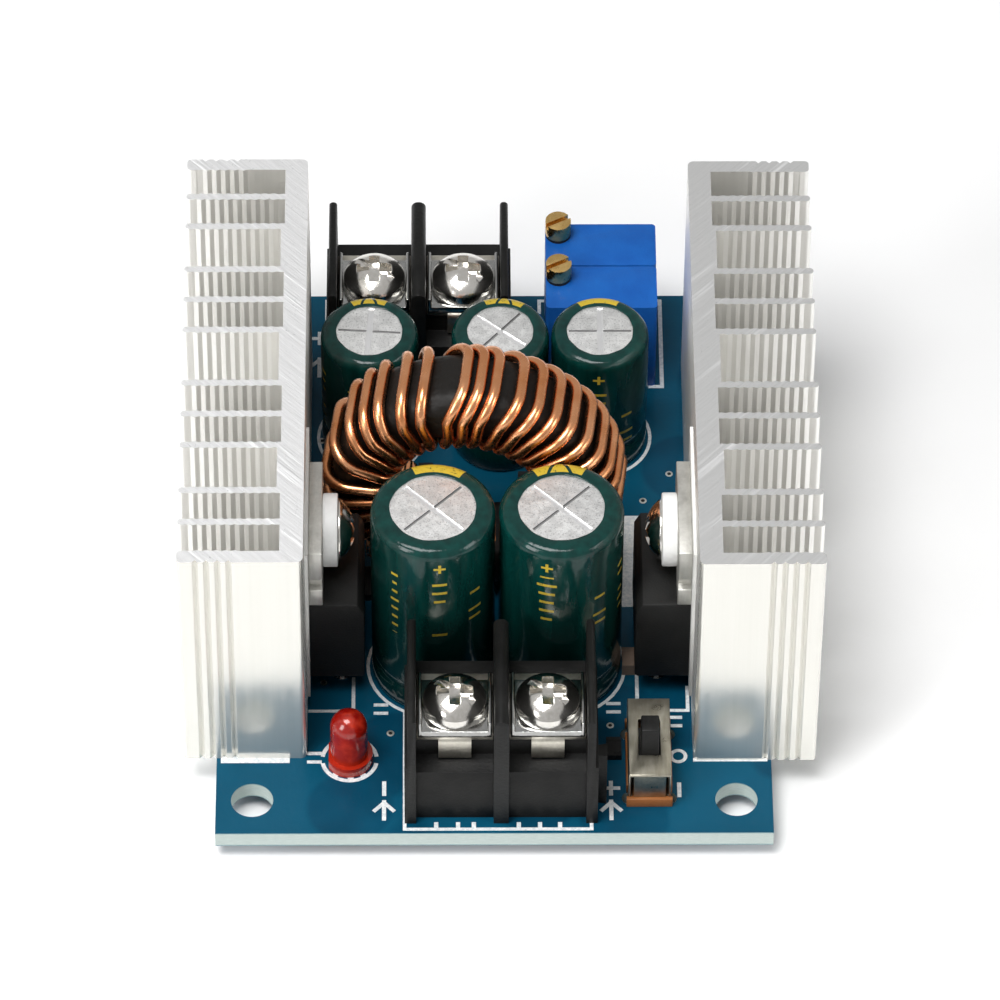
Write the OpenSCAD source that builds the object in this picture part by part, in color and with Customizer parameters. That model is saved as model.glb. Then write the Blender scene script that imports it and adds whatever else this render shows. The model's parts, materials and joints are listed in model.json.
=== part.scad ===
// Adjustable step-down power converter module on a circuit board.
// Origin: centre of the four mounting holes, on the underside of the board.
// +X points right, +Y towards the output terminals, +Z up. Millimetres.

/* [Board] */
// Width of the circuit board
board_w = 46; // [46:0.5:54]
// Length of the circuit board
board_l = 60; // [58:0.5:70]
// Thickness of the circuit board
board_t = 1.6; // [1:0.1:2.4]
// Diameter of the mounting holes
mount_hole_d = 3.5; // [2.5:0.1:4]
// Distance of the mounting holes from the side edges
mount_side = 3; // [2.5:0.1:4]
// Distance of the mounting holes from the front and rear edges
mount_end = 3.5; // [2.5:0.1:4]
// How far the leads stand out below the board
lead_tail = 1.4; // [1.2:0.1:2.5]
// Height of the solder cones below the board
solder_h = 1; // [0.6:0.1:1.1]
// Width of the solder cone around a lead, on each side
solder_w = 0.55; // [0.3:0.05:0.7]
// Room around a lead in its plated hole, on each side
lead_room = 0.15; // [0.1:0.05:0.3]

/* [Heatsinks] */
// Height of the heatsinks above the board
sink_h = 25; // [21:0.5:35]
// Depth of a heatsink from its inner face to its fin tips
sink_depth = 10.2; // [7:0.1:16]
// Thickness of the base that the fins stand on
sink_base = 1.9; // [1.5:0.1:3]
// Extra thickness of the base under the wider gaps
sink_floor = 0.3; // [0:0.05:0.5]
// Radius of the corners of the base
sink_corner = 0.5; // [0.2:0.1:0.8]
// Thickness of the inner fins
fin_t = 0.65; // [0.5:0.05:1]
// Thickness of the two end fins
end_fin_t = 1.25; // [1:0.05:1.6]
// Gap between most of the fins
fin_gap = 2.75; // [2:0.05:3.2]
// Gap between the fins at the two screw channels
channel_gap = 4.25; // [3.5:0.05:5]
// Gap between the two middle fins
middle_gap = 5.25; // [4:0.05:5.8]
// Distance from ripple to ripple on the fins
ripple_pitch = 0.76; // [0.6:0.02:1.2]
// Height of the ripples on the fins
ripple_h = 0.1; // [0.05:0.01:0.14]
// Distance from a side edge of the board to a heatsink's inner face
sink_seat = 7; // [5:0.1:7]
// Shift of both heatsinks to the right
sink_shift = 0.5; // [0:0.1:0.6]
// Distance of the middle of the heatsinks behind the power devices
sink_behind = 10.5; // [9:0.05:11]
// How far the right heatsink stands in front of the left one
sink_slip = 0.3; // [0:0.05:0.4]
// Radius of the corners of the end fins' tips
end_fin_edge = 0.35; // [0.2:0.05:0.5]

/* [Power devices] */
// Width of a power device
device_w = 10.1; // [9:0.1:10.4]
// Thickness of a power device with its tab
device_t = 4.5; // [4:0.1:4.7]
// Height of the moulded body
body_h = 9.15; // [8:0.05:9.6]
// Height of the tab above the moulded body
tab_h = 6.5; // [6:0.05:7.2]
// Height of a power device above the board
device_lift = 2.35; // [1.5:0.05:3.5]
// Distance of the power devices behind the middle of the input capacitors
device_behind = 1.96; // [1.5:0.01:2]
// Thickness of the metal tab
tab_t = 1.15; // [1:0.05:1.5]
// Distance from the top of the tab to its hole
tab_hole_drop = 2.8; // [2.6:0.05:3.2]
// Diameter of the hole in the tab
tab_hole_d = 3.8; // [3.7:0.05:4.2]
// Depth of the notches in the sides of the tab
tab_notch = 0.75; // [0.3:0.05:1.2]
// Height of those notches above the moulded body
tab_notch_up = 1.9; // [1.5:0.1:2.2]
// Distance from device lead to device lead
device_pitch = 2.54; // [2.4:0.01:2.6]
// Distance from the back of the tab to the middle of the leads
device_lead_out = 2.6; // [2.4:0.05:2.8]
// Width of a device lead in its hole
device_lead_w = 0.8; // [0.6:0.05:1]
// Width of a device lead above the board
device_shoulder_w = 1.3; // [1.1:0.05:1.5]
// Thickness of a device lead
device_lead_t = 0.5; // [0.4:0.05:0.6]
// Thickness of the insulating pad
pad_t = 0.25; // [0.15:0.05:0.4]
// Width of the insulating pad
pad_w = 14; // [12:0.5:16]
// Height of the insulating pad
pad_h = 18; // [17:0.5:21]
// Diameter of the flange of the insulating bush
bush_flange_d = 6.1; // [5.6:0.1:7]
// Thickness of the flange of the insulating bush
bush_flange_t = 1.25; // [0.8:0.05:1.6]
// Thread diameter of the heatsink screws
sink_screw_d = 3; // [2.5:0.1:3]
// Head diameter of the heatsink screws
sink_screw_head_d = 5; // [4.6:0.1:5.5]
// Head thickness of the heatsink screws
sink_screw_head_t = 1.4; // [1.2:0.1:2]

/* [Inductor] */
// Outer diameter of the ring core
core_d = 23.4; // [21:0.1:24]
// Diameter of the eye of the ring core
core_eye_d = 14.2; // [14:0.1:15]
// Thickness of the ring core
core_t = 6.4; // [6:0.1:7]
// Radius of the edges of the ring core
core_edge = 1; // [0.6:0.1:1.2]
// Diameter of the enamelled wire
wire_d = 1.05; // [0.8:0.05:1.1]
// Place of the inductor across the board
inductor_x = -1.6; // [-1.8:0.1:-1.4]
// Turn of the inductor about its upright axis, in degrees
inductor_yaw = -7; // [-8:0.5:-6.5]

/* [Input capacitors] */
// Diameter of the input capacitor cans
input_cap_d = 10; // [9:0.1:10.2]
// Height of the input capacitors
input_cap_h = 20.3; // [16:0.1:25]
// Distance between the two leads of an input capacitor
input_cap_pitch = 5; // [4:0.1:5.5]
// Place of the pair of input capacitors across the board
input_caps_x = 0.25; // [-0.2:0.05:0.4]

/* [Output capacitors] */
// Diameter of the output capacitor cans
output_cap_d = 8; // [6.3:0.1:8.5]
// Height of the output capacitors
output_cap_h = 13.7; // [11:0.1:20]
// Distance between the two leads of an output capacitor
output_cap_pitch = 3.5; // [3:0.1:4]
// Place of the left output capacitor across the board
output_cap_left_x = -10.4; // [-10.6:0.1:-9]
// Place of the middle output capacitor across the board
output_cap_middle_x = 0.7; // [0:0.05:0.8]
// Place of the right output capacitor across the board
output_cap_right_x = 9.15; // [9.15:0.05:11]

/* [All capacitors] */
// Wall thickness of the shrink sleeves
sleeve_t = 0.12; // [0.08:0.01:0.16]
// Diameter of the capacitor leads
cap_lead_d = 0.7; // [0.5:0.05:0.8]
// Thickness of the rubber seals
cap_seal_t = 1.6; // [1.2:0.1:2.2]
// Width of the sleeve's lip on top of an input capacitor
input_lip = 1.45; // [0.8:0.05:1.8]
// Width of the sleeve's lip on top of an output capacitor
output_lip = 1.2; // [0.8:0.05:1.6]
// Width of the wide score in a can's top
wide_score = 0.5; // [0.3:0.05:0.7]
// Width of the narrow score across it
narrow_score = 0.25; // [0.15:0.05:0.3]

/* [Terminal blocks] */
// Distance from screw to screw
terminal_pitch = 7.62; // [7:0.02:8]
// Depth of a terminal block
terminal_depth = 11; // [10.6:0.1:11.3]
// Height of the ribs of a terminal block
terminal_h = 13.1; // [12.8:0.1:16]
// Thickness of the middle rib
middle_rib_t = 1.25; // [0.9:0.05:1.4]
// Thickness of the outer ribs
outer_rib_t = 0.7; // [0.5:0.05:1]
// Height of the deck that the contacts lie on
deck_h = 7.75; // [7:0.05:8.5]
// Height of the sill in front of the deck
sill_h = 5.9; // [5:0.1:6.5]
// Depth of the sill
sill_depth = 1.95; // [1.5:0.05:2.1]
// How far the ribs stand out in front of the sill
rib_front = 0.65; // [0.4:0.05:0.8]
// How far the base stands out beside the outer ribs
base_lip = 0.25; // [0.1:0.05:0.4]
// Width of the dovetail on the right side of a terminal block
dovetail_w = 1.4; // [1:0.1:2]
// How far the dovetail stands out
dovetail_out = 0.75; // [0.4:0.05:0.8]
// Height of the dovetail
dovetail_h = 6.2; // [4:0.1:7]
// Distance of the dovetail from the front of a terminal block
dovetail_in = 2.75; // [1.5:0.05:9]
// Distance of a terminal block from the end of the board
terminal_inset = 1; // [0.5:0.05:1.5]
// Place of the input terminal block across the board
input_terminal_x = 0.55; // [0:0.05:0.8]
// Place of the output terminal block across the board
output_terminal_x = -6.25; // [-6.6:0.05:-5.8]
// Distance from the front of a terminal block to its screws
terminal_screw_in = 5; // [4.8:0.05:5.1]
// Thickness of the contact plates
contact_t = 0.75; // [0.6:0.05:0.9]
// Depth of the contact plates
contact_depth = 7; // [6.8:0.1:7.6]
// Width of the test tab on the front of a contact
contact_tab_w = 2.7; // [2:0.1:3.2]
// Thread diameter of the terminal screws
terminal_screw_d = 3; // [2.5:0.1:3]
// Gap between the head of a terminal screw and its clamp's sides
head_room = 0.1; // [0.08:0.01:0.3]
// Head height of the terminal screws
terminal_head_h = 2.3; // [1.6:0.1:2.6]
// Length of a terminal screw below its head
terminal_screw_l = 7; // [6.5:0.1:7.2]
// Thickness of the clamp plates
clamp_t = 0.7; // [0.5:0.05:0.8]
// Height of the clamp's turned up sides
clamp_side_h = 1.7; // [1.4:0.05:2.2]
// Thickness of the clamp's turned up sides
clamp_side_t = 0.3; // [0.2:0.05:0.5]
// Depth of the clamp plates
clamp_depth = 5.6; // [5:0.1:6]
// How far the test tab hangs down in front of the deck
contact_drop = 1.6; // [1:0.05:1.8]

/* [Trimmers] */
// Width of a trimmer
trimmer_w = 9.53; // [9:0.01:9.8]
// Depth of a trimmer
trimmer_d = 4.83; // [4.4:0.01:4.9]
// Height of a trimmer
trimmer_h = 10.03; // [9:0.01:11]
// Place of the left side of the trimmers across the board
trimmer_x = 4.68; // [4.6:0.02:5]
// Distance of the rear trimmer from the rear edge of the board
trimmer_inset = 0.8; // [0.5:0.05:1]
// Gap between the two trimmers
trimmer_gap = 0.15; // [0.05:0.05:0.3]
// Diameter of the adjusting screws
adjuster_d = 2.2; // [2:0.05:2.4]
// How far the adjusting screws stand out
adjuster_out = 1.8; // [1.6:0.1:2.4]
// Distance from the left side of a trimmer to its adjusting screw
adjuster_in = 1.1; // [1.1:0.01:1.5]
// Distance from the rear of a trimmer to its adjusting screw
adjuster_back = 1.27; // [1.1:0.01:2.4]
// Distance from the middle lead of a trimmer to the outer ones
trimmer_pitch = 2.54; // [2.4:0.01:2.7]
// Diameter of a trimmer's leads
trimmer_lead_d = 0.6; // [0.4:0.05:0.7]

/* [Slide switch] */
// Width of the slide switch
switch_w = 3.5; // [3.4:0.05:4]
// Length of the slide switch
switch_l = 8.2; // [7.8:0.1:9]
// Height of the cover above the board
switch_h = 3.85; // [3.5:0.05:4.5]
// Thickness of the switch base
switch_base_t = 1; // [0.8:0.05:1.2]
// Thickness of the cover's metal
cover_t = 0.3; // [0.2:0.05:0.35]
// Travel of the slider
slider_travel = 2; // [1.5:0.1:2]
// Width of the knob
knob_w = 1.5; // [1.2:0.05:1.7]
// Length of the knob
knob_l = 1.75; // [1.5:0.05:1.8]
// Height of the knob above the cover
knob_out = 3; // [2:0.1:4]
// Distance from pin to pin of the slide switch
switch_pitch = 2; // [1.8:0.1:2.4]
// Place of the slide switch across the board
switch_x = 12.8; // [12.6:0.05:13.2]
// Distance of the middle of the slide switch from the front edge of the board
switch_inset = 7.05; // [6.9:0.05:7.3]

/* [Power light] */
// Diameter of the light's lens
led_d = 3.1; // [2.8:0.1:3.3]
// Height of the light above the board
led_h = 5.9; // [5:0.1:7]
// Diameter of the light's flange
led_flange_d = 3.9; // [3.6:0.1:4]
// Distance between the leads of the light
led_pitch = 2.54; // [2.3:0.01:2.7]
// Place of the light across the board
led_x = -12; // [-12.2:0.1:-11]
// Distance of the light from the front edge of the board
led_inset = 7.8; // [7:0.1:9]

/* [Chips] */
// Length of an eight-legged chip
chip_l = 4.9; // [4.7:0.1:5.1]
// Width of an eight-legged chip's body
chip_w = 3.9; // [3.7:0.1:4]
// Height of an eight-legged chip
chip_h = 1.6; // [1.4:0.05:1.75]
// Place of the controller chip across the board
controller_x = 7.2; // [7:0.1:7.4]
// Place of the amplifier chip across the board
amplifier_x = -10; // [-10.3:0.1:-9.8]
// Place of the current shunt across the board
shunt_x = -10.2; // [-10.6:0.1:-9.8]
// Length of the current shunt
shunt_l = 6.4; // [5:0.1:6.6]
// Width of the current shunt
shunt_w = 3.2; // [2.5:0.1:3.3]
// Length of a chip resistor or chip capacitor
passive_l = 2; // [1.6:0.1:2.2]
// Width of a chip resistor or chip capacitor
passive_w = 1.25; // [0.8:0.05:1.3]

/* [Fits] */
// Gap around a sliding or turning piece, on each side
running_fit = 0.05; // [0.03:0.01:0.1]
// Gap around a piece that only lies in its place, on each side
loose_fit = 0.15; // [0.1:0.05:0.25]
// Gap between the sleeve and its can, on each side
sleeve_fit = 0.02; // [0.01:0.01:0.04]
// Gap between neighbouring input capacitors
cap_gap = 0.25; // [0.2:0.05:0.6]
// Gap between a terminal block and the input capacitors
input_gap = 0.75; // [0.3:0.05:0.9]
// Gap between a terminal block and the output capacitors
output_gap = 0.35; // [0.25:0.05:0.8]
// Gap between the input capacitors and the inductor
inductor_gap = 0.2; // [0.15:0.05:0.3]

/* [Hidden] */
$fn = 48;

// How far a cutting shape reaches past the face that it cuts
over = 0.5;
left = -1;
right = 1;

// ---- Places on the board ----
board_front = -board_l / 2;
board_rear = board_l / 2;
mount_x = board_w / 2 - mount_side;
mount_y = board_l / 2 - mount_end;

// ---- Heatsinks ----
fin_gaps = [
    fin_gap, fin_gap, channel_gap, fin_gap, fin_gap, middle_gap,
    fin_gap, fin_gap, channel_gap, fin_gap, fin_gap
];
last_fin = len(fin_gaps);
function fin_width(i) = (i == 0 || i == last_fin) ? end_fin_t : fin_t;
function fin_start(i) =
    i == 0 ? 0 : fin_start(i - 1) + fin_width(i - 1) + fin_gaps[i - 1];
sink_l = fin_start(last_fin) + end_fin_t;
function sink_face_x(side) = sink_shift + side * (board_w / 2 - sink_seat);
ripple_start = sink_base + sink_floor + 0.3;

// ---- Power devices, in a frame that starts on the heatsink's inner face ----
tab_back = pad_t;
tab_front = tab_back + tab_t;
body_front = tab_back + device_t;
lead_line = tab_back + device_lead_out;
bush_front = tab_front + bush_flange_t;
tab_hole_z = device_lift + body_h + tab_h - tab_hole_drop;
bush_sleeve_d = tab_hole_d - 2 * running_fit;
bush_sleeve_l = tab_t - running_fit;
bush_bore_d = sink_screw_d + 2 * running_fit;
sink_screw_l = bush_front + sink_base + sink_floor;
frame_w = device_w - 1.8;
frame_lead_in = 1.5;
device_leads = [-device_pitch, 0, device_pitch];

// ---- Capacitors ----
function sleeve_d(can_d) = can_d + 2 * (sleeve_fit + sleeve_t);
input_sleeve_d = sleeve_d(input_cap_d);
output_sleeve_d = sleeve_d(output_cap_d);
input_terminal_y = board_front + terminal_inset;
output_terminal_y = board_rear - terminal_inset - terminal_depth;
input_cap_y = input_terminal_y + terminal_depth + input_gap + input_sleeve_d / 2;
output_cap_y = output_terminal_y - output_gap - output_sleeve_d / 2;
input_cap_out = (input_sleeve_d + cap_gap) / 2;
input_caps = [
    [input_caps_x - input_cap_out, input_cap_y],
    [input_caps_x + input_cap_out, input_cap_y]
];
output_caps = [
    [output_cap_left_x, output_cap_y],
    [output_cap_middle_x, output_cap_y],
    [output_cap_right_x, output_cap_y]
];
device_y = input_cap_y + device_behind;
function sink_y(side) =
    device_y + sink_behind - (side == right ? sink_slip : 0);

// ---- Inductor, in a frame at the middle of the ring with its axis along Y ----
wire_lift = 0.06;
wire_out = wire_d / 2 + wire_lift;
coil_half_t = core_t / 2 + wire_out + wire_d / 2;
inductor_y = input_cap_y
    + (input_sleeve_d / 2 + inductor_gap + coil_half_t) / cos(inductor_yaw)
    - (input_caps[1].x - inductor_x) * tan(inductor_yaw);
inductor_z = board_t + core_d / 2 + wire_out + wire_d / 2 + running_fit;
// Where each hand-laid turn crosses the outside of the ring, in degrees from the top
turn_at = [
    -160, -148, -136, -124, -112, -100, -88, -70, -56, -47, -39, -28, -19, -3, 3,
    9, 19, 27, 35, 43, 52, 61, 70, 79, 88, 100, 112, 124, 136, 148, 160
];
last_turn = len(turn_at) - 1;
eye_span = 330;
function eye_at(i) = -eye_span / 2 + i * eye_span / last_turn;
wire_sides = 8;
bend = core_edge + wire_out;
wire_r_out = core_d / 2 + wire_out;
wire_r_in = core_eye_d / 2 - wire_out;
wire_y = core_t / 2 + wire_out;
first_lead_x = wire_r_out * sin(turn_at[0]);
last_lead_at = 171;
last_lead_x = (core_d / 2) * sin(last_lead_at);
function beside_inductor(x, y) = [
    inductor_x + x * cos(inductor_yaw) - y * sin(inductor_yaw),
    inductor_y + x * sin(inductor_yaw) + y * cos(inductor_yaw)
];
coil_leads = [
    beside_inductor(first_lead_x, wire_y), beside_inductor(last_lead_x, wire_y)
];

// ---- Terminal blocks, in a frame at the middle of the block's front lower edge ----
bay_w = terminal_pitch - middle_rib_t;
poles = [-terminal_pitch / 2, terminal_pitch / 2];
rib_inside = middle_rib_t / 2 + bay_w;
block_half_w = rib_inside + outer_rib_t;
deck_front = rib_front + sill_depth;
contact_tab_t = 0.6;
contact_front = deck_front - contact_tab_t;
contact_top = deck_h + contact_t;
clamp_top = contact_top + clamp_t;
clamp_w = bay_w - 2 * loose_fit;
terminal_head_d = clamp_w - 2 * clamp_side_t - 2 * head_room;
screw_tip = clamp_top - terminal_screw_l;
collar_d = terminal_screw_d + 1.6;
collar_l = 2;
pin_w = 1.2;
pin_t = 0.75;
pin_y = contact_front + contact_depth - pin_t / 2;

// ---- Trimmers, in a frame at the case's front left lower corner ----
rear_trimmer_y = board_rear - trimmer_inset - trimmer_d;
front_trimmer_y = rear_trimmer_y - trimmer_gap - trimmer_d;
adjuster_neck_d = adjuster_d - 0.8;
adjuster_head_t = adjuster_out - 0.35;
adjuster_at = [adjuster_in, trimmer_d - adjuster_back];
adjuster_depth = 6;
trimmer_foot_h = 0.4;
trimmer_lead_top = trimmer_foot_h + 1;
trimmer_leads = [
    [trimmer_w / 2 - trimmer_pitch, trimmer_d / 2],
    [trimmer_w / 2, trimmer_d / 4],
    [trimmer_w / 2 + trimmer_pitch, trimmer_d / 2]
];

// ---- Slide switch, in a frame at the middle of its base ----
switch_y = board_front + switch_inset;
slot_w = knob_w + 2 * loose_fit;
slot_l = knob_l + slider_travel + 2 * running_fit;
switch_base_w = switch_w + 0.3;
switch_base_l = switch_l + 0.5;
switch_leads = [-switch_pitch, 0, switch_pitch];
switch_lead_t = 0.5;
cover_leg_w = 1;
cover_leg_y = switch_l / 2 - 0.7;
cover_slit = 0.25;
slider_w = switch_w - 2 * cover_t - 2 * running_fit;
slider_l = 4.6;
contact_rise = 0.4;

// ---- Power light ----
led_y = board_front + led_inset;
led_lead_t = 0.5;
led_leads = [-led_pitch / 2, led_pitch / 2];

// ---- Chips ----
chip_leg_pitch = 1.27;
chip_stand = 0.15;
chips_y = output_cap_y - output_sleeve_d / 2 - chip_l / 2 - loose_fit;
controller_at = [controller_x, chips_y];
amplifier_at = [amplifier_x, chips_y];
shunt_at = [shunt_x, device_y + device_w / 2 + shunt_w / 2 + loose_fit];
chip_reach = chip_w / 2 + 2.4;
beside_sink = sink_face_x(left) + 1.3;
// Places of the chip resistors and chip capacitors: x, y and turn in degrees
resistor_places = [
    [switch_x - 2.85, switch_y + 1.65, 90],
    [controller_x - chip_reach, chips_y + 1.3, 90],
    [amplifier_x + chip_reach, chips_y + 2.3, 90],
    [beside_sink, chips_y + 1.2, 90], [beside_sink, chips_y - 1.4, 90]
];
capacitor_places = [
    [switch_x - 1.4, device_y - 2, 90], [beside_sink, chips_y - 4, 90]
];
passive_h = 0.6;
passive_cap = 0.4;

// ---- Every soldered lead: x, y and the lead's own diameter ----
device_lead_d = norm([device_lead_w, device_lead_t]);
pin_d = norm([pin_w, pin_t]);
switch_lead_d = norm([switch_lead_t, switch_lead_t]);
led_lead_d = norm([led_lead_t, led_lead_t]);
cover_leg_d = norm([cover_leg_w, cover_t]);
function spread(places, along, out, d) = [
    for (p = places) for (s = [-1, 1])
        [p.x + s * along.x * out, p.y + s * along.y * out, d]
];
lead_points = concat(
    [for (side = [left, right]) for (y = device_leads)
        [sink_face_x(side) - side * lead_line, device_y + y, device_lead_d]],
    spread(input_caps, [0, 1], input_cap_pitch / 2, cap_lead_d),
    spread(output_caps, [0, 1], output_cap_pitch / 2, cap_lead_d),
    [for (p = coil_leads) [p.x, p.y, wire_d]],
    [for (x = poles) [input_terminal_x + x, input_terminal_y + pin_y, pin_d]],
    [for (x = poles) [output_terminal_x + x, output_terminal_y + pin_y, pin_d]],
    [for (y = [front_trimmer_y, rear_trimmer_y]) for (p = trimmer_leads)
        [trimmer_x + p.x, y + p.y, trimmer_lead_d]],
    [for (y = switch_leads) [switch_x, switch_y + y, switch_lead_d]],
    [for (x = [-1, 1]) for (y = [-1, 1]) [
        switch_x + x * (switch_w - cover_t) / 2, switch_y + y * cover_leg_y,
        cover_leg_d
    ]],
    [for (x = led_leads) [led_x + x, led_y, led_lead_d]]
);

// ---------------------------------------------------------------- shapes used often

// A flat outline with its four corners rounded
module round_plate(w, l, r) {
    translate([r, 0]) square([w - 2 * r, l]);
    translate([0, r]) square([w, l - 2 * r]);
    for (x = [r, w - r], y = [r, l - r]) translate([x, y]) circle(r);
}

// What is cut from an outline's corner at the origin to round it
module corner_waste(r) {
    difference() {
        translate([-over, -over]) square(r + over);
        translate([r, r]) circle(r);
    }
}

// Half outline of a round body whose top edge is rounded
module half_outline(r, h, edge) {
    square([r, h - edge]);
    square([r - edge, h]);
    translate([r - edge, h - edge]) circle(edge);
}

// Puts a piece on a heatsink's inner face, with local +X towards the middle
module on_sink(side) {
    translate([sink_face_x(side), device_y, board_t])
        mirror([side == right ? 1 : 0, 0, 0]) children();
}

// Puts a piece on the board
module on_board(x, y) {
    translate([x, y, board_t]) children();
}

// ---------------------------------------------------------------- board

module circuit_board() {
    color([0.06, 0.3, 0.42])
    linear_extrude(board_t) difference() {
        translate([-board_w / 2, board_front]) square([board_w, board_l]);
        for (x = [-mount_x, mount_x], y = [-mount_y, mount_y])
            translate([x, y]) circle(d = mount_hole_d);
        for (p = lead_points)
            translate([p.x, p.y]) circle(d = p.z + 2 * lead_room);
    }
}

module solder_joints() {
    inside = 0.01;
    tip_w = 0.15;
    color([0.75, 0.76, 0.78])
    for (p = lead_points)
        translate([p.x, p.y, 0]) mirror([0, 0, 1]) rotate_extrude()
            polygon([
                [p.z / 2 + inside, 0], [p.z / 2 + solder_w, 0],
                [p.z / 2 + tip_w, solder_h], [p.z / 2 + inside, solder_h]
            ]);
}

// ---------------------------------------------------------------- heatsinks

// Corner points along one rippled side of a fin, leaning out and in by turns
function ripple(from, to, y, sign) = let (n = floor((to - from) / ripple_pitch)) [
    for (k = [0 : 2 * n])
        [from + k * ripple_pitch / 2, y + sign * ripple_h * (k % 2 == 0 ? -0.5 : 0.5)]
];

function reversed(list) = [for (i = [len(list) - 1 : -1 : 0]) list[i]];

// An inner fin, rippled on both sides and rounded at its tip
module inner_fin() {
    tip = sink_depth - fin_t / 2;
    polygon(concat(
        [[sink_base - over, 0], [sink_base + sink_floor, 0]],
        ripple(ripple_start, tip - ripple_pitch / 2, 0, -1), [[tip, 0], [tip, fin_t]],
        reversed(ripple(ripple_start, tip - ripple_pitch / 2, fin_t, 1)),
        [[sink_base + sink_floor, fin_t], [sink_base - over, fin_t]]
    ));
    translate([tip, fin_t / 2]) circle(d = fin_t, $fn = 24);
}

// An end fin, rippled on the outer half of its inner side, grooved outside near its tip
module end_fin() {
    tip = sink_depth - end_fin_edge;
    groove_in = sink_depth - end_fin_t / 2;
    groove_w = 0.35;
    groove_step = 0.9;
    difference() {
        union() {
            polygon(concat(
                [[0, 0], [tip, 0], [tip, end_fin_t]],
                reversed(ripple(sink_depth / 2, tip - ripple_pitch, end_fin_t, 1)),
                [[0, end_fin_t]]
            ));
            translate([tip - 2 * end_fin_edge, 0])
                round_plate(3 * end_fin_edge, end_fin_t, end_fin_edge);
        }
        for (k = [1 : 4])
            translate([groove_in - k * groove_step, 0])
                rotate(45) square(groove_w, center = true);
    }
}

module sink_outline() {
    difference() {
        union() {
            translate([0, -sink_l / 2]) square([sink_base, sink_l]);
            for (i = [1 : last_fin - 1])
                translate([0, fin_start(i) - sink_l / 2]) inner_fin();
            for (i = [0 : last_fin - 1]) if (fin_gaps[i] > fin_gap)
                translate([0, fin_start(i) + fin_width(i) / 2 - sink_l / 2])
                    square([sink_base + sink_floor, fin_gaps[i] + fin_t]);
            for (s = [0, 1]) mirror([0, s]) translate([0, -sink_l / 2]) end_fin();
        }
        for (s = [0, 1]) mirror([0, s])
            translate([0, -sink_l / 2]) corner_waste(sink_corner);
    }
}

module heatsink(side) {
    bore_past = 0.4;
    difference() {
        translate([sink_face_x(side), sink_y(side), board_t])
            mirror([side == left ? 1 : 0, 0, 0]) linear_extrude(sink_h) sink_outline();
        on_sink(side) translate([over, 0, tab_hole_z]) rotate([0, -90, 0])
            cylinder(d = sink_screw_d + 2 * running_fit,
                h = sink_base + sink_floor + over + bore_past);
    }
}

module left_heatsink() {
    color([0.83, 0.84, 0.85]) heatsink(left);
}

module right_heatsink() {
    color([0.83, 0.84, 0.85]) heatsink(right);
}

// ---------------------------------------------------------------- power devices

// Metal tab, with the middle lead on it and the two outer leads beside it
module device_leadframe() {
    tab_z = device_lift + body_h;
    tab_top = tab_z + tab_h;
    notch_z = tab_z + tab_notch_up;
    notch_h = 1.3;
    frame_z = device_lift + 0.6;
    difference() {
        union() {
            translate([tab_back, -device_w / 2, tab_z])
                cube([tab_t, device_w, tab_top - tab_z]);
            translate([tab_back, -frame_w / 2, frame_z])
                cube([tab_t, frame_w, tab_z - frame_z]);
            translate([tab_front - over, -device_lead_w / 2, device_lift + frame_lead_in])
                cube([lead_line + device_lead_t / 2 - tab_front + over,
                    device_lead_w, device_lead_t]);
            device_lead();
        }
        translate([tab_back - over, 0, tab_hole_z]) rotate([0, 90, 0])
            cylinder(d = tab_hole_d, h = tab_t + 2 * over);
        for (s = [-1, 1])
            translate([tab_back - over, s * device_w / 2 - tab_notch, notch_z])
                cube([tab_t + 2 * over, 2 * tab_notch, notch_h]);
    }
    for (y = [-device_pitch, device_pitch]) translate([0, y, 0]) device_lead();
}

// A lead, wide above the board and narrow in its hole
module device_lead() {
    foot = board_t + lead_tail;
    shoulder_z = 0.3;
    translate([lead_line - device_lead_t / 2, -device_lead_w / 2, -foot])
        cube([device_lead_t, device_lead_w, foot + device_lift + frame_lead_in]);
    translate([lead_line - device_lead_t / 2, -device_shoulder_w / 2, shoulder_z])
        cube([device_lead_t, device_shoulder_w, device_lift - shoulder_z]);
}

// Moulded body that holds the tab and the leads, bevelled at its upper front edge
module device_body() {
    bevel_h = 1.1;
    bevel_d = 0.5;
    draft = 0.2;
    mark_d = 1.6;
    mark_depth = 0.15;
    mark_z = device_lift + body_h * 0.62;
    difference() {
        translate([0, device_w / 2, device_lift]) rotate([90, 0, 0])
            linear_extrude(device_w) polygon([
                [tab_back, 0], [body_front - draft, 0], [body_front, draft],
                [body_front, body_h - bevel_h], [body_front - bevel_d, body_h],
                [tab_back, body_h]
            ]);
        device_leadframe();
        translate([body_front - mark_depth, 0, mark_z])
            rotate([0, 90, 0]) cylinder(d = mark_d, h = over);
    }
}

module diode_body() {
    color([0.16, 0.16, 0.15]) on_sink(left) device_body();
}

module diode_leadframe() {
    color([0.7, 0.69, 0.66]) on_sink(left) device_leadframe();
}

module mosfet_body() {
    color([0.16, 0.16, 0.15]) on_sink(right) device_body();
}

module mosfet_leadframe() {
    color([0.7, 0.69, 0.66]) on_sink(right) device_leadframe();
}

// Thin sheet between the tab and the heatsink
module insulating_pad() {
    pad_shift = 0.5;
    pad_z = device_lift - 0.85;
    difference() {
        translate([0, pad_shift - pad_w / 2, pad_z]) cube([pad_t, pad_w, pad_h]);
        translate([-over, 0, tab_hole_z]) rotate([0, 90, 0])
            cylinder(d = tab_hole_d, h = pad_t + 2 * over);
    }
}

module left_insulating_pad() {
    color([0.85, 0.84, 0.8]) on_sink(left) insulating_pad();
}

module right_insulating_pad() {
    color([0.85, 0.84, 0.8]) on_sink(right) insulating_pad();
}

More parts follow.
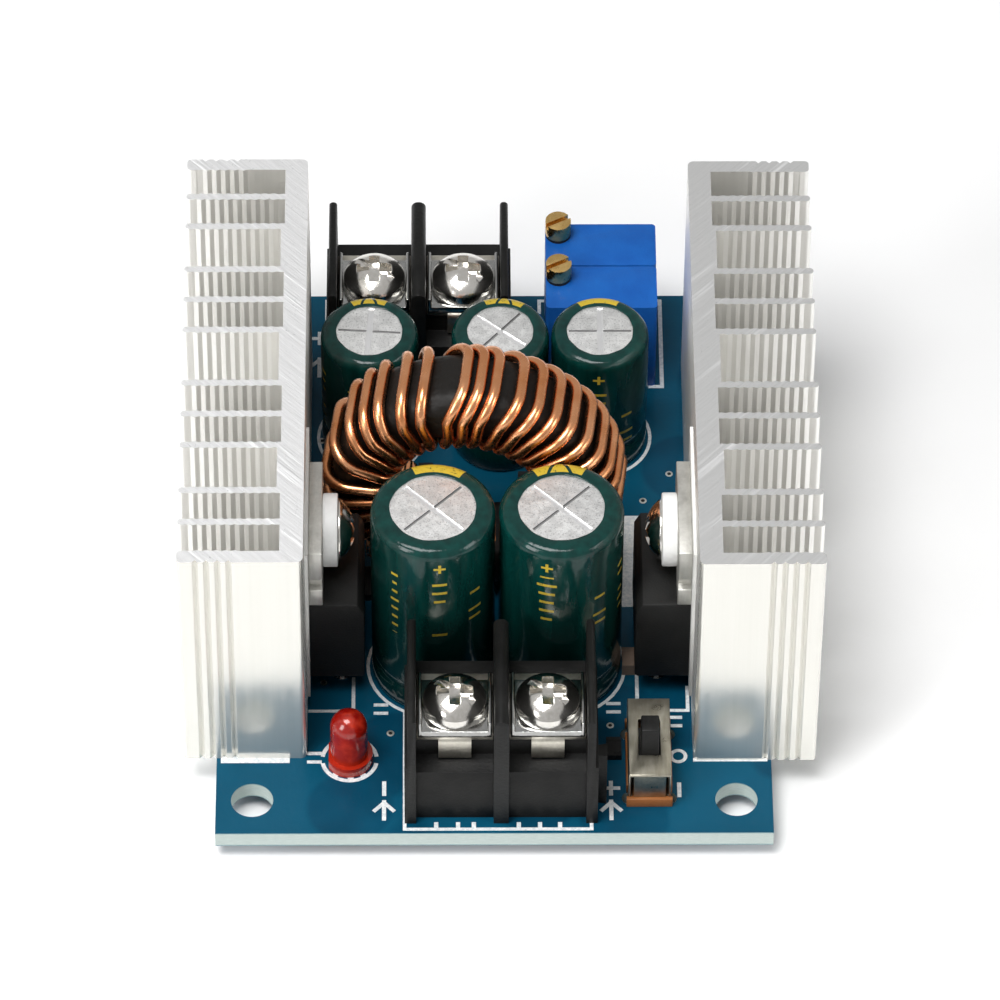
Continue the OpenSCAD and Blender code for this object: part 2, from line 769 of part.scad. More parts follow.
// Flanged bush that keeps the screw off the tab
module insulating_bush() {
    translate([tab_front, 0, tab_hole_z]) rotate([0, 90, 0]) difference() {
        union() {
            cylinder(d = bush_flange_d, h = bush_flange_t);
            translate([0, 0, -bush_sleeve_l])
                cylinder(d = bush_sleeve_d, h = bush_sleeve_l + bush_flange_t / 2);
        }
        translate([0, 0, -bush_sleeve_l - over])
            cylinder(d = bush_bore_d, h = bush_sleeve_l + bush_flange_t + 2 * over);
    }
}

module left_insulating_bush() {
    color([0.93, 0.93, 0.92]) on_sink(left) insulating_bush();
}

module right_insulating_bush() {
    color([0.93, 0.93, 0.92]) on_sink(right) insulating_bush();
}

// Domed head with a cross recess on a round shank; the head stands on z = 0
module domed_screw(shank_d, shank_l, head_d, head_h) {
    dome_r = head_d * 0.64;
    recess_l = head_d * 0.56;
    recess_w = head_d * 0.17;
    recess_depth = head_h * 0.55;
    difference() {
        intersection() {
            cylinder(d = head_d, h = head_h);
            translate([0, 0, head_h - dome_r]) sphere(dome_r);
        }
        for (a = [0, 90]) rotate(a)
            translate([-recess_l / 2, -recess_w / 2, head_h - recess_depth])
                cube([recess_l, recess_w, head_h]);
    }
    translate([0, 0, -shank_l]) cylinder(d = shank_d, h = shank_l);
}

module heatsink_screw(side) {
    on_sink(side) translate([bush_front, 0, tab_hole_z]) rotate([0, 90, 0])
        domed_screw(sink_screw_d, sink_screw_l, sink_screw_head_d, sink_screw_head_t);
}

module left_heatsink_screw() {
    color([0.8, 0.79, 0.75]) heatsink_screw(left);
}

module right_heatsink_screw() {
    color([0.8, 0.79, 0.75]) heatsink_screw(right);
}

// ---------------------------------------------------------------- inductor

module on_inductor() {
    translate([inductor_x, inductor_y, inductor_z]) rotate(inductor_yaw) children();
}

module inductor_core() {
    color([0.13, 0.13, 0.13])
    on_inductor() rotate([90, 0, 0]) rotate_extrude($fn = 96)
        translate([core_eye_d / 2, -core_t / 2])
            round_plate((core_d - core_eye_d) / 2, core_t, core_edge);
}

// A point at radius r and height y, turned by the angle a from the top of the ring
function on_ring(r, y, a) = [r * sin(a), y, r * cos(a)];

// The bend of a turn round one edge of the ring, from one angle to the other
function bend_round(r, y, from, to, a) = [
    for (k = [0 : 2]) let (
        t = from + (to - from) * k / 2,
        b = k == 1 ? bend / cos((to - from) / 4) : bend
    ) on_ring(r + b * cos(t), y + b * sin(t), a)
];

bend_r_out = core_d / 2 - core_edge;
bend_r_in = core_eye_d / 2 + core_edge;
bend_y = core_t / 2 - core_edge;

// One turn: down over the outside, in over the front, back through the eye
function turn(i) = concat(
    i == 0 ? [] : bend_round(bend_r_out, bend_y, 90, 0, turn_at[i]),
    bend_round(bend_r_out, -bend_y, 0, -90, turn_at[i]),
    bend_round(bend_r_in, -bend_y, -90, -180, eye_at(i)),
    bend_round(bend_r_in, bend_y, -180, -270, eye_at(i))
);

lead_foot = -inductor_z - lead_tail;
first_turn_z = wire_r_out * cos(turn_at[0]);
wire_path = concat(
    [
        [first_lead_x, wire_y, lead_foot],
        [first_lead_x, wire_y, first_turn_z - bend],
        [first_lead_x, wire_y - bend * 0.3, first_turn_z - bend * 0.3],
        [first_lead_x, wire_y - bend, first_turn_z]
    ],
    [for (i = [0 : last_turn]) each turn(i)],
    [
        [last_lead_x, wire_y, (core_d / 2) * cos(last_lead_at)],
        [last_lead_x, wire_y, lead_foot]
    ]
);

function unit(v) = v / norm(v);

// The wire's outline across its run at point i of the path
function wire_ring(path, i) = let (
    t = unit(path[min(i + 1, len(path) - 1)] - path[max(i - 1, 0)]),
    round = unit([path[i].z, 0, -path[i].x]),
    n1 = unit(cross(t, round)),
    n2 = cross(t, n1)
) [
    for (j = [0 : wire_sides - 1]) let (a = 360 * j / wire_sides)
        path[i] + wire_d / 2 * (cos(a) * n1 + sin(a) * n2)
];

module inductor_winding() {
    rings = len(wire_path);
    side_faces = [
        for (i = [0 : rings - 2], j = [0 : wire_sides - 1]) let (
            next = (j + 1) % wire_sides,
            a = i * wire_sides,
            b = a + wire_sides
        ) each [[a + j, b + j, b + next], [a + j, b + next, a + next]]
    ];
    end_faces = [
        [for (j = [0 : wire_sides - 1]) j],
        [for (j = [wire_sides - 1 : -1 : 0]) (rings - 1) * wire_sides + j]
    ];
    color([0.72, 0.4, 0.22])
    on_inductor() polyhedron(
        points = [for (i = [0 : rings - 1]) each wire_ring(wire_path, i)],
        faces = concat(side_faces, end_faces), convexity = 10
    );
}

// ---------------------------------------------------------------- capacitors

bead_z = 2.6;
bead_r = 0.55;
can_edge = 0.8;
can_rim = 0.5;
// How each can's wide score is turned, in degrees
input_score_turns = [-45, -45];
output_score_turns = [86, -40, 90];

// Aluminium can with a rolled bead, a scored vent and a recess for its seal
module capacitor_can(d, h) {
    lift = sleeve_fit + sleeve_t;
    can_h = h - 2 * lift;
    score_depth = 0.15;
    score_l = d * 0.66;
    translate([0, 0, lift]) difference() {
        rotate_extrude() difference() {
            half_outline(d / 2, can_h, can_edge);
            translate([d / 2 + bead_r / 3, bead_z]) circle(bead_r, $fn = 32);
            translate([0, -over]) square([d / 2 - can_rim, cap_seal_t + over]);
        }
        for (score = [[0, wide_score], [90, narrow_score]]) rotate(score[0])
            translate([-score_l / 2, -score[1] / 2, can_h - score_depth])
                cube([score_l, score[1], over]);
    }
}

// Shrink sleeve with a lip over the can's edge and one under its rim
module capacitor_sleeve(d, h, lip) {
    outside = d / 2 + sleeve_fit + sleeve_t;
    rotate_extrude() difference() {
        half_outline(outside, h, can_edge + sleeve_t);
        translate([0, sleeve_t])
            half_outline(d / 2 + sleeve_fit, h - 2 * sleeve_t, can_edge);
        translate([0, h / 2]) square([d / 2 - lip, h]);
        translate([0, -over]) square([d / 2 - can_rim, h / 2]);
    }
}

// Rubber disc that closes the can, with its two lead holes
module capacitor_seal(d, pitch) {
    difference() {
        translate([0, 0, sleeve_fit + sleeve_t])
            cylinder(r = d / 2 - can_rim - running_fit, h = cap_seal_t);
        for (s = [-1, 1]) translate([0, s * pitch / 2, -over])
            cylinder(d = cap_lead_d + 2 * sleeve_fit, h = cap_seal_t + 2 * over);
    }
}

module capacitor_lead_pair(pitch) {
    foot = board_t + lead_tail;
    for (s = [-1, 1]) translate([0, s * pitch / 2, -foot])
        cylinder(d = cap_lead_d, h = foot + sleeve_fit + sleeve_t + cap_seal_t, $fn = 24);
}

module input_capacitor_can(i) {
    color([0.82, 0.82, 0.82]) on_board(input_caps[i].x, input_caps[i].y)
        rotate(input_score_turns[i]) capacitor_can(input_cap_d, input_cap_h);
}

module input_capacitor_sleeve(i) {
    color([0.02, 0.27, 0.24]) on_board(input_caps[i].x, input_caps[i].y)
        capacitor_sleeve(input_cap_d, input_cap_h, input_lip);
}

module output_capacitor_can(i) {
    color([0.82, 0.82, 0.82]) on_board(output_caps[i].x, output_caps[i].y)
        rotate(output_score_turns[i]) capacitor_can(output_cap_d, output_cap_h);
}

module output_capacitor_sleeve(i) {
    color([0.02, 0.27, 0.24]) on_board(output_caps[i].x, output_caps[i].y)
        capacitor_sleeve(output_cap_d, output_cap_h, output_lip);
}

module input_capacitor_left_can() { input_capacitor_can(0); }
module input_capacitor_left_sleeve() { input_capacitor_sleeve(0); }
module input_capacitor_right_can() { input_capacitor_can(1); }
module input_capacitor_right_sleeve() { input_capacitor_sleeve(1); }
module output_capacitor_left_can() { output_capacitor_can(0); }
module output_capacitor_left_sleeve() { output_capacitor_sleeve(0); }
module output_capacitor_middle_can() { output_capacitor_can(1); }
module output_capacitor_middle_sleeve() { output_capacitor_sleeve(1); }
module output_capacitor_right_can() { output_capacitor_can(2); }
module output_capacitor_right_sleeve() { output_capacitor_sleeve(2); }

module capacitor_seals() {
    color([0.12, 0.12, 0.12]) {
        for (p = input_caps) on_board(p.x, p.y)
            capacitor_seal(input_cap_d, input_cap_pitch);
        for (p = output_caps) on_board(p.x, p.y)
            capacitor_seal(output_cap_d, output_cap_pitch);
    }
}

module capacitor_leads() {
    color([0.75, 0.75, 0.75]) {
        for (p = input_caps) on_board(p.x, p.y) capacitor_lead_pair(input_cap_pitch);
        for (p = output_caps) on_board(p.x, p.y) capacitor_lead_pair(output_cap_pitch);
    }
}

// ---------------------------------------------------------------- terminal blocks

// A rib between two bays, rounded along its top edge
module rib(x, t) {
    crown = t / 2;
    translate([x, terminal_depth, 0]) rotate([90, 0, 0]) linear_extrude(terminal_depth) {
        translate([-t / 2, 0]) square([t, terminal_h - crown]);
        translate([0, terminal_h - crown]) circle(crown, $fn = 24);
    }
}

// Ridge by which a block locks to its neighbour, or the slot for it
module dovetail(h, room) {
    undercut = 0.15;
    tip = dovetail_w / 2 + room;
    linear_extrude(h) polygon([
        [-base_lip, undercut - tip], [0, undercut - tip], [dovetail_out + room, -tip],
        [dovetail_out + room, tip], [0, tip - undercut], [-base_lip, tip - undercut]
    ]);
}

// Moulded block with two open bays
module terminal_housing() {
    lip_h = deck_h - 0.5;
    well_depth = 0.5;
    difference() {
        union() {
            translate([rib_inside, 0, 0]) rotate([90, 0, -90])
                linear_extrude(2 * rib_inside) polygon([
                    [-rib_front, 0], [-rib_front, sill_h], [-deck_front, sill_h],
                    [-deck_front, deck_h], [-terminal_depth, deck_h],
                    [-terminal_depth, 0]
                ]);
            rib(0, middle_rib_t);
            for (s = [-1, 1]) {
                rib(s * (rib_inside + outer_rib_t / 2), outer_rib_t);
                translate([s * (block_half_w + base_lip / 2) - base_lip / 2, 0, 0])
                    cube([base_lip, terminal_depth, lip_h]);
            }
            translate([block_half_w + base_lip, dovetail_in, 0]) dovetail(dovetail_h, 0);
        }
        translate([-block_half_w - base_lip, dovetail_in, -over])
            dovetail(dovetail_h + over, running_fit);
        for (x = poles) translate([x, 0, 0]) {
            translate([0, terminal_screw_in, screw_tip - well_depth])
                cylinder(d = collar_d + 2 * running_fit, h = deck_h);
            translate([-pin_w / 2 - running_fit, pin_y - pin_t / 2 - running_fit, -over])
                cube([pin_w + 2 * running_fit, pin_t + 2 * running_fit, deck_h + 2 * over]);
        }
    }
}

// Contact plate with a bent down tab, a threaded collar and a pin for the board
module terminal_contact() {
    plate_w = bay_w - 2 * running_fit;
    foot = board_t + lead_tail;
    difference() {
        union() {
            translate([-plate_w / 2, deck_front, deck_h])
                cube([plate_w, contact_depth - contact_tab_t, contact_t]);
            translate([contact_tab_w / 2, contact_front, deck_h - contact_drop])
                rotate([0, -90, 0]) linear_extrude(contact_tab_w) {
                    square([contact_drop + contact_t - contact_tab_t, contact_tab_t]);
                    translate([contact_drop + contact_t - contact_tab_t, contact_tab_t])
                        intersection() {
                            circle(contact_tab_t);
                            translate([0, -contact_tab_t])
                                square(contact_tab_t);
                        }
                }
            translate([0, terminal_screw_in, deck_h - collar_l])
                cylinder(d = collar_d, h = collar_l);
            translate([-pin_w / 2, pin_y - pin_t / 2, -foot])
                cube([pin_w, pin_t, foot + deck_h]);
        }
        translate([0, terminal_screw_in, deck_h - collar_l - over])
            cylinder(d = terminal_screw_d + 2 * running_fit, h = collar_l + contact_t + 2 * over);
    }
}

// Clamp plate whose sides are turned up beside the screw head
module terminal_clamp() {
    fillet = head_room;
    difference() {
        translate([0, terminal_screw_in + clamp_depth / 2, contact_top]) rotate([90, 0, 0])
            linear_extrude(clamp_depth) {
                translate([-clamp_w / 2, 0]) square([clamp_w, clamp_t]);
                for (s = [0, 1]) mirror([s, 0]) {
                    translate([-clamp_w / 2, 0]) square([clamp_side_t, clamp_side_h]);
                    translate([-clamp_w / 2 + clamp_side_t, clamp_t]) difference() {
                        square(fillet);
                        translate([fillet, fillet]) circle(fillet);
                    }
                }
            }
        translate([0, terminal_screw_in, contact_top - over])
            cylinder(d = terminal_screw_d + 2 * running_fit, h = clamp_t + 2 * over);
    }
}

// Clamping screw with a domed head, a cross and a slot
module terminal_screw() {
    slot_turn = -35;
    slot_t = 0.6;
    slot_depth = 0.6;
    translate([0, terminal_screw_in, clamp_top]) difference() {
        domed_screw(terminal_screw_d, terminal_screw_l, terminal_head_d, terminal_head_h);
        rotate(slot_turn)
            translate([-terminal_head_d, -slot_t / 2, terminal_head_h - slot_depth])
                cube([2 * terminal_head_d, slot_t, terminal_head_h]);
    }
}

module on_input_terminal() {
    on_board(input_terminal_x, input_terminal_y) children();
}

module on_output_terminal() {
    on_board(output_terminal_x, output_terminal_y) children();
}

module input_terminal_housing() {
    color([0.15, 0.15, 0.14]) on_input_terminal() terminal_housing();
}

module output_terminal_housing() {
    color([0.15, 0.15, 0.14]) on_output_terminal() terminal_housing();
}

module input_terminal_contacts() {
    color([0.78, 0.76, 0.7]) on_input_terminal()
        for (x = poles) translate([x, 0, 0]) terminal_contact();
}

module output_terminal_contacts() {
    color([0.78, 0.76, 0.7]) on_output_terminal()
        for (x = poles) translate([x, 0, 0]) terminal_contact();
}

module input_negative_clamp() {
    color([0.8, 0.8, 0.8]) on_input_terminal() translate([poles[0], 0, 0]) terminal_clamp();
}

module input_negative_screw() {
    color([0.85, 0.85, 0.85]) on_input_terminal() translate([poles[0], 0, 0]) terminal_screw();
}

module input_positive_clamp() {
    color([0.8, 0.8, 0.8]) on_input_terminal() translate([poles[1], 0, 0]) terminal_clamp();
}

module input_positive_screw() {
    color([0.85, 0.85, 0.85]) on_input_terminal() translate([poles[1], 0, 0]) terminal_screw();
}

module output_positive_clamp() {
    color([0.8, 0.8, 0.8]) on_output_terminal() translate([poles[0], 0, 0]) terminal_clamp();
}

module output_positive_screw() {
    color([0.85, 0.85, 0.85]) on_output_terminal() translate([poles[0], 0, 0]) terminal_screw();
}

module output_negative_clamp() {
    color([0.8, 0.8, 0.8]) on_output_terminal() translate([poles[1], 0, 0]) terminal_clamp();
}

module output_negative_screw() {
    color([0.85, 0.85, 0.85]) on_output_terminal() translate([poles[1], 0, 0]) terminal_screw();
}

// ---------------------------------------------------------------- trimmers

module trimmer_case() {
    foot_w = 1.2;
    edge = 0.35;
    difference() {
        union() {
            translate([0, 0, trimmer_foot_h]) linear_extrude(trimmer_h - trimmer_foot_h)
                round_plate(trimmer_w, trimmer_d, edge);
            for (x = [0, trimmer_w - foot_w]) translate([x, 0, 0])
                linear_extrude(trimmer_h / 2) round_plate(foot_w, trimmer_d, edge);
        }
        translate([adjuster_at.x, adjuster_at.y, trimmer_h - adjuster_depth])
            cylinder(d = adjuster_neck_d + 2 * running_fit, h = adjuster_depth + over);
        for (p = trimmer_leads) translate([p.x, p.y, 0])
            cylinder(d = trimmer_lead_d + 2 * sleeve_fit, h = trimmer_lead_top, $fn = 24);
    }
}

// Slotted adjusting screw
module trimmer_screw() {
    slot_t = 0.4;
    slot_turn = 28;
    slot_depth = 0.5;
    translate([adjuster_at.x, adjuster_at.y, trimmer_h]) difference() {
        union() {
            translate([0, 0, -adjuster_depth + running_fit])
                cylinder(d = adjuster_neck_d, h = adjuster_depth + adjuster_out - over);
            translate([0, 0, adjuster_out - adjuster_head_t])
                cylinder(d = adjuster_d, h = adjuster_head_t);
        }
        rotate(slot_turn) translate([-adjuster_d, -slot_t / 2, adjuster_out - slot_depth])
            cube([2 * adjuster_d, slot_t, over + slot_depth]);
    }
}

// Rubber ring under the head of the adjusting screw
module trimmer_seal() {
    seal_h = adjuster_out - adjuster_head_t - running_fit;
    translate([adjuster_at.x, adjuster_at.y, trimmer_h]) difference() {
        cylinder(d = adjuster_d - 0.1, h = seal_h);
        translate([0, 0, -over])
            cylinder(d = adjuster_neck_d + 2 * running_fit, h = seal_h + 2 * over);
    }
}

module rear_trimmer_case() {
    color([0.12, 0.38, 0.78]) on_board(trimmer_x, rear_trimmer_y) trimmer_case();
}

module rear_trimmer_screw() {
    color([0.8, 0.6, 0.28]) on_board(trimmer_x, rear_trimmer_y) trimmer_screw();
}

module front_trimmer_case() {
    color([0.12, 0.38, 0.78]) on_board(trimmer_x, front_trimmer_y) trimmer_case();
}

module front_trimmer_screw() {
    color([0.8, 0.6, 0.28]) on_board(trimmer_x, front_trimmer_y) trimmer_screw();
}

module trimmer_seals() {
    color([0.2, 0.2, 0.2]) for (y = [front_trimmer_y, rear_trimmer_y])
        on_board(trimmer_x, y) trimmer_seal();
}

module trimmer_pins() {
    foot = board_t + lead_tail;
    color([0.75, 0.75, 0.75]) for (y = [front_trimmer_y, rear_trimmer_y])
        on_board(trimmer_x, y) for (p = trimmer_leads) translate([p.x, p.y, -foot])
            cylinder(d = trimmer_lead_d, h = foot + trimmer_lead_top, $fn = 24);
}

// ---------------------------------------------------------------- slide switch

module on_switch() {
    on_board(switch_x, switch_y) children();
}

// Folded metal cover, slit at its corners, with two legs for the board
module switch_cover() {
    inside_w = switch_w - 2 * cover_t;
    inside_l = switch_l - 2 * cover_t;
    foot = board_t + lead_tail;
    color([0.6, 0.57, 0.5]) on_switch() {
        difference() {
            translate([-switch_w / 2, -switch_l / 2, switch_base_t])
                cube([switch_w, switch_l, switch_h - switch_base_t]);
            translate([-inside_w / 2, -inside_l / 2, switch_base_t - over])
                cube([inside_w, inside_l, switch_h - switch_base_t - cover_t + over]);
            translate([-slot_w / 2, -slot_l / 2, switch_base_t])
                cube([slot_w, slot_l, switch_h]);
            for (x = [-1, 1], y = [-1, 1])
                translate([x * inside_w / 2 - cover_slit / 2,
                    y * (switch_l - cover_t) / 2 - cover_t, switch_base_t - over])
                    cube([cover_slit, 2 * cover_t, switch_h - switch_base_t - cover_t + over]);
        }
        for (x = [-1, 1], y = [-1, 1])
            translate([x * (switch_w - cover_t) / 2 - cover_t / 2,
                y * cover_leg_y - cover_leg_w / 2, -foot])
                cube([cover_t, cover_leg_w, foot + switch_base_t]);
    }
}

module switch_base() {
    color([0.62, 0.32, 0.14]) on_switch() difference() {
        translate([-switch_base_w / 2, -switch_base_l / 2, 0])
            cube([switch_base_w, switch_base_l, switch_base_t]);
        for (x = [0, 1], y = [-1, 1]) mirror([x, 0, 0])
            translate([switch_w / 2 - cover_t - running_fit,
                y * cover_leg_y - cover_leg_w / 2 - running_fit, -over])
                cube([cover_t + running_fit + over, cover_leg_w + 2 * running_fit,
                    switch_base_t + 2 * over]);
        for (y = switch_leads)
            translate([-switch_lead_t / 2, y - switch_lead_t / 2, -over])
                cube([switch_lead_t, switch_lead_t, switch_base_t + 2 * over]);
    }
}

module switch_slider() {
    slider_z = switch_base_t + contact_rise + running_fit;
    color([0.14, 0.14, 0.14]) on_switch() translate([0, -slider_travel / 2, 0]) {
        translate([-slider_w / 2, -slider_l / 2, slider_z])
            cube([slider_w, slider_l, switch_h - cover_t - running_fit - slider_z]);
        translate([-knob_w / 2, -knob_l / 2, slider_z])
            cube([knob_w, knob_l, switch_h + knob_out - slider_z]);
    }
}

module switch_pins() {
    foot = board_t + lead_tail;
    pad = 0.6;
    color([0.78, 0.76, 0.7]) on_switch() for (y = switch_leads) translate([0, y, 0]) {
        translate([-switch_lead_t / 2, -switch_lead_t / 2, -foot])
            cube([switch_lead_t, switch_lead_t, foot + switch_base_t]);
        translate([-pad, -pad, switch_base_t]) cube([2 * pad, 2 * pad, contact_rise]);
    }
}

// ---------------------------------------------------------------- power light

led_cup = 2.6;

module light_leads() {
    foot = board_t + lead_tail;
    for (x = led_leads) translate([x - led_lead_t / 2, -led_lead_t / 2, -foot])
        cube([led_lead_t, led_lead_t, foot + led_cup]);
    translate([-led_pitch / 2, -led_lead_t / 2, led_cup - led_lead_t])
        cube([led_pitch / 2 + 0.4, led_lead_t, led_lead_t]);
}

module power_light_lens() {
    flange_t = 1;
    flat_in = 0.25;
    r = led_d / 2;
    color([0.75, 0.08, 0.05]) on_board(led_x, led_y) difference() {
        union() {
            cylinder(d = led_flange_d, h = flange_t);
            cylinder(r = r, h = led_h - r);
            translate([0, 0, led_h - r]) sphere(r);
        }
        translate([-led_flange_d / 2 - over, -led_flange_d / 2, -over])
            cube([flat_in + over, led_flange_d, flange_t + over]);
        light_leads();
    }
}

module power_light_leads() {
    color([0.78, 0.77, 0.74]) on_board(led_x, led_y) light_leads();
}

// ---------------------------------------------------------------- chips

// Moulded body of an eight-legged chip, its length along Y, with its corner mark
module chip_body() {
    mark_in = 0.7;
    mark_d = 0.6;
    mark_depth = 0.1;
    difference() {
        translate([-chip_w / 2, -chip_l / 2, chip_stand])
            cube([chip_w, chip_l, chip_h - chip_stand]);
        translate([-chip_w / 2 + mark_in, chip_l / 2 - mark_in, chip_h - mark_depth])
            cylinder(d = mark_d, h = over, $fn = 24);
    }
}

// Gull-wing legs on both sides of a chip
module chip_legs() {
    leg_w = 0.42;
    leg_t = 0.2;
    leg_out = 1;
    knee_z = chip_h / 2;
    knee = 0.4;
    for (s = [0, 1]) mirror([s, 0, 0]) for (i = [-1.5 : 1.5])
        translate([chip_w / 2, i * chip_leg_pitch + leg_w / 2, 0]) rotate([90, 0, 0])
            linear_extrude(leg_w) polygon([
                [0, knee_z], [0, knee_z + leg_t], [knee + leg_t / 2, knee_z + leg_t],
                [knee + leg_t, leg_t], [leg_out, leg_t], [leg_out, 0],
                [knee, 0], [knee - leg_t / 2, knee_z]
            ]);
}

module controller_chip() {
    color([0.13, 0.13, 0.13]) on_board(controller_at.x, controller_at.y) chip_body();
}

module amplifier_chip() {
    color([0.13, 0.13, 0.13]) on_board(amplifier_at.x, amplifier_at.y) chip_body();
}

module chip_leads() {
    color([0.72, 0.72, 0.72]) for (p = [controller_at, amplifier_at])
        on_board(p.x, p.y) chip_legs();
}

// Low resistor that the output current flows through
module current_shunt() {
    shunt_h = 0.8;
    foot_l = 1;
    foot_t = 0.1;
    color([0.2, 0.2, 0.2]) on_board(shunt_at.x, shunt_at.y) {
        translate([-shunt_l / 2, -shunt_w / 2, 0]) cube([shunt_l, shunt_w, shunt_h]);
        for (s = [-1, 1]) translate([s * (shunt_l - foot_l) / 2, 0, shunt_h])
            translate([-foot_l / 2, -shunt_w / 2, 0]) cube([foot_l, shunt_w, foot_t]);
    }
}

module chip_resistors() {
    body_h = passive_h - 0.05;
    color([0.15, 0.15, 0.15]) for (p = resistor_places)
        on_board(p.x, p.y) rotate(p.z) {
            translate([-passive_l / 2 + passive_cap, -passive_w / 2, 0])
                cube([passive_l - 2 * passive_cap, passive_w, body_h]);
            for (s = [-1, 1]) translate([s * (passive_l - passive_cap) / 2, 0, 0])
                translate([-passive_cap / 2, -passive_w / 2, 0])
                    cube([passive_cap, passive_w, passive_h]);
        }
}

module chip_capacitors() {
    body_in = 0.03;
    color([0.5, 0.38, 0.26]) for (p = capacitor_places)
        on_board(p.x, p.y) rotate(p.z) {
            translate([-passive_l / 2 + passive_cap, -passive_w / 2 + body_in, 0])
                cube([passive_l - 2 * passive_cap, passive_w - 2 * body_in, passive_w - body_in]);
            for (s = [-1, 1]) translate([s * (passive_l - passive_cap) / 2, 0, 0])
                translate([-passive_cap / 2, -passive_w / 2, 0])
                    cube([passive_cap, passive_w, passive_w]);
        }
}

// ---------------------------------------------------------------- drawing

circuit_board();
left_heatsink();
right_heatsink();
diode_body();
diode_leadframe();
mosfet_body();
mosfet_leadframe();
left_insulating_pad();
right_insulating_pad();
left_insulating_bush();
right_insulating_bush();
left_heatsink_screw();
right_heatsink_screw();
inductor_core();
inductor_winding();
input_capacitor_left_can();
input_capacitor_left_sleeve();
input_capacitor_right_can();
input_capacitor_right_sleeve();
output_capacitor_left_can();
output_capacitor_left_sleeve();
output_capacitor_middle_can();
output_capacitor_middle_sleeve();
output_capacitor_right_can();
output_capacitor_right_sleeve();
capacitor_seals();
capacitor_leads();
input_terminal_housing();
input_terminal_contacts();
input_negative_clamp();
input_negative_screw();
input_positive_clamp();
input_positive_screw();
output_terminal_housing();
output_terminal_contacts();
output_positive_clamp();
output_positive_screw();
output_negative_clamp();
output_negative_screw();
rear_trimmer_case();
rear_trimmer_screw();
front_trimmer_case();
front_trimmer_screw();
trimmer_seals();
trimmer_pins();
switch_cover();
switch_base();
switch_slider();
switch_pins();
power_light_lens();
power_light_leads();
controller_chip();
amplifier_chip();
chip_leads();
current_shunt();
chip_resistors();
chip_capacitors();
solder_joints();
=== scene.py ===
"""Looks for a buck converter module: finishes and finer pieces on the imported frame."""
import json
import math

import bmesh
import bpy
from mathutils import Matrix, Vector

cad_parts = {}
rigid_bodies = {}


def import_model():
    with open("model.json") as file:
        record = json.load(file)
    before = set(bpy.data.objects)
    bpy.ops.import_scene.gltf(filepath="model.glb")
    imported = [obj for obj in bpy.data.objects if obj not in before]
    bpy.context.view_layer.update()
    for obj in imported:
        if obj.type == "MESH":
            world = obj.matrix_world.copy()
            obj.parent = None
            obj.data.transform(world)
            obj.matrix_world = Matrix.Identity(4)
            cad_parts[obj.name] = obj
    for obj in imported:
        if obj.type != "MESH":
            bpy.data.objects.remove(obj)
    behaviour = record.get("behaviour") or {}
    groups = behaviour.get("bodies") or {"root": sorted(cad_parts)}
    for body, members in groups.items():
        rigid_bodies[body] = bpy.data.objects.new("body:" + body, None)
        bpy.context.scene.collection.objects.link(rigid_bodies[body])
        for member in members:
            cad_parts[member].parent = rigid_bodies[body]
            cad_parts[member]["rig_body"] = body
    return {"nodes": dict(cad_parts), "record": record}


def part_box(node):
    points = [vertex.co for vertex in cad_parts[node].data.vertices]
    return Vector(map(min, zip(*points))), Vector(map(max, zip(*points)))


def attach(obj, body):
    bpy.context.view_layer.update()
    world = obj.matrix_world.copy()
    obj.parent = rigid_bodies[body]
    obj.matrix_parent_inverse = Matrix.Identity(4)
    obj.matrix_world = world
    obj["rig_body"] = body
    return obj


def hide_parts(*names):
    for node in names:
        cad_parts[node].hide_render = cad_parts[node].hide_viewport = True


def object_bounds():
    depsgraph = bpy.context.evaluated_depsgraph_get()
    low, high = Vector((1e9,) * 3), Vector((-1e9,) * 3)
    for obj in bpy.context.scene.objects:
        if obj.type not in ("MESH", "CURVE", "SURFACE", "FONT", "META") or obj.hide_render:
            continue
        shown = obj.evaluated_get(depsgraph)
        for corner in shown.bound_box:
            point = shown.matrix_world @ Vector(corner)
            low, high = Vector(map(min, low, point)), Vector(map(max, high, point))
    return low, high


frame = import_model()
cad_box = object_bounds()
MM = 0.001
BODY = "module"


def box_of(node):
    """Lowest and highest corner of a node, in millimetres."""
    low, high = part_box(node)
    return Vector(low) / MM, Vector(high) / MM


def middle(node):
    low, high = box_of(node)
    return (low + high) / 2


# ------------------------------------------------------------------ camera

AIM = Vector((0.58, -2.38, 11.6)) * MM
AWAY = 620.35 * MM
AZIMUTH, ELEVATION, ROLL = (math.radians(a) for a in (-0.68, 48.97, 0.41))
SENSOR_WIDTH, LENS = 36, 266.8


def make_camera():
    back = Vector((math.sin(AZIMUTH) * math.cos(ELEVATION),
                   -math.cos(AZIMUTH) * math.cos(ELEVATION), math.sin(ELEVATION)))
    right = (-back).cross(Vector((0, 0, 1))).normalized()
    up = right.cross(-back)
    right, up = (right * math.cos(ROLL) + up * math.sin(ROLL),
                 up * math.cos(ROLL) - right * math.sin(ROLL))
    data = bpy.data.cameras.new("camera")
    data.sensor_width = SENSOR_WIDTH
    data.lens = LENS
    data.clip_start = 0.05
    camera = bpy.data.objects.new("camera", data)
    bpy.context.scene.collection.objects.link(camera)
    turn = Matrix((right, up, back)).transposed().to_4x4()
    camera.matrix_world = Matrix.Translation(AIM + back * AWAY) @ turn
    bpy.context.scene.camera = camera


# ------------------------------------------------------------------ shader expressions

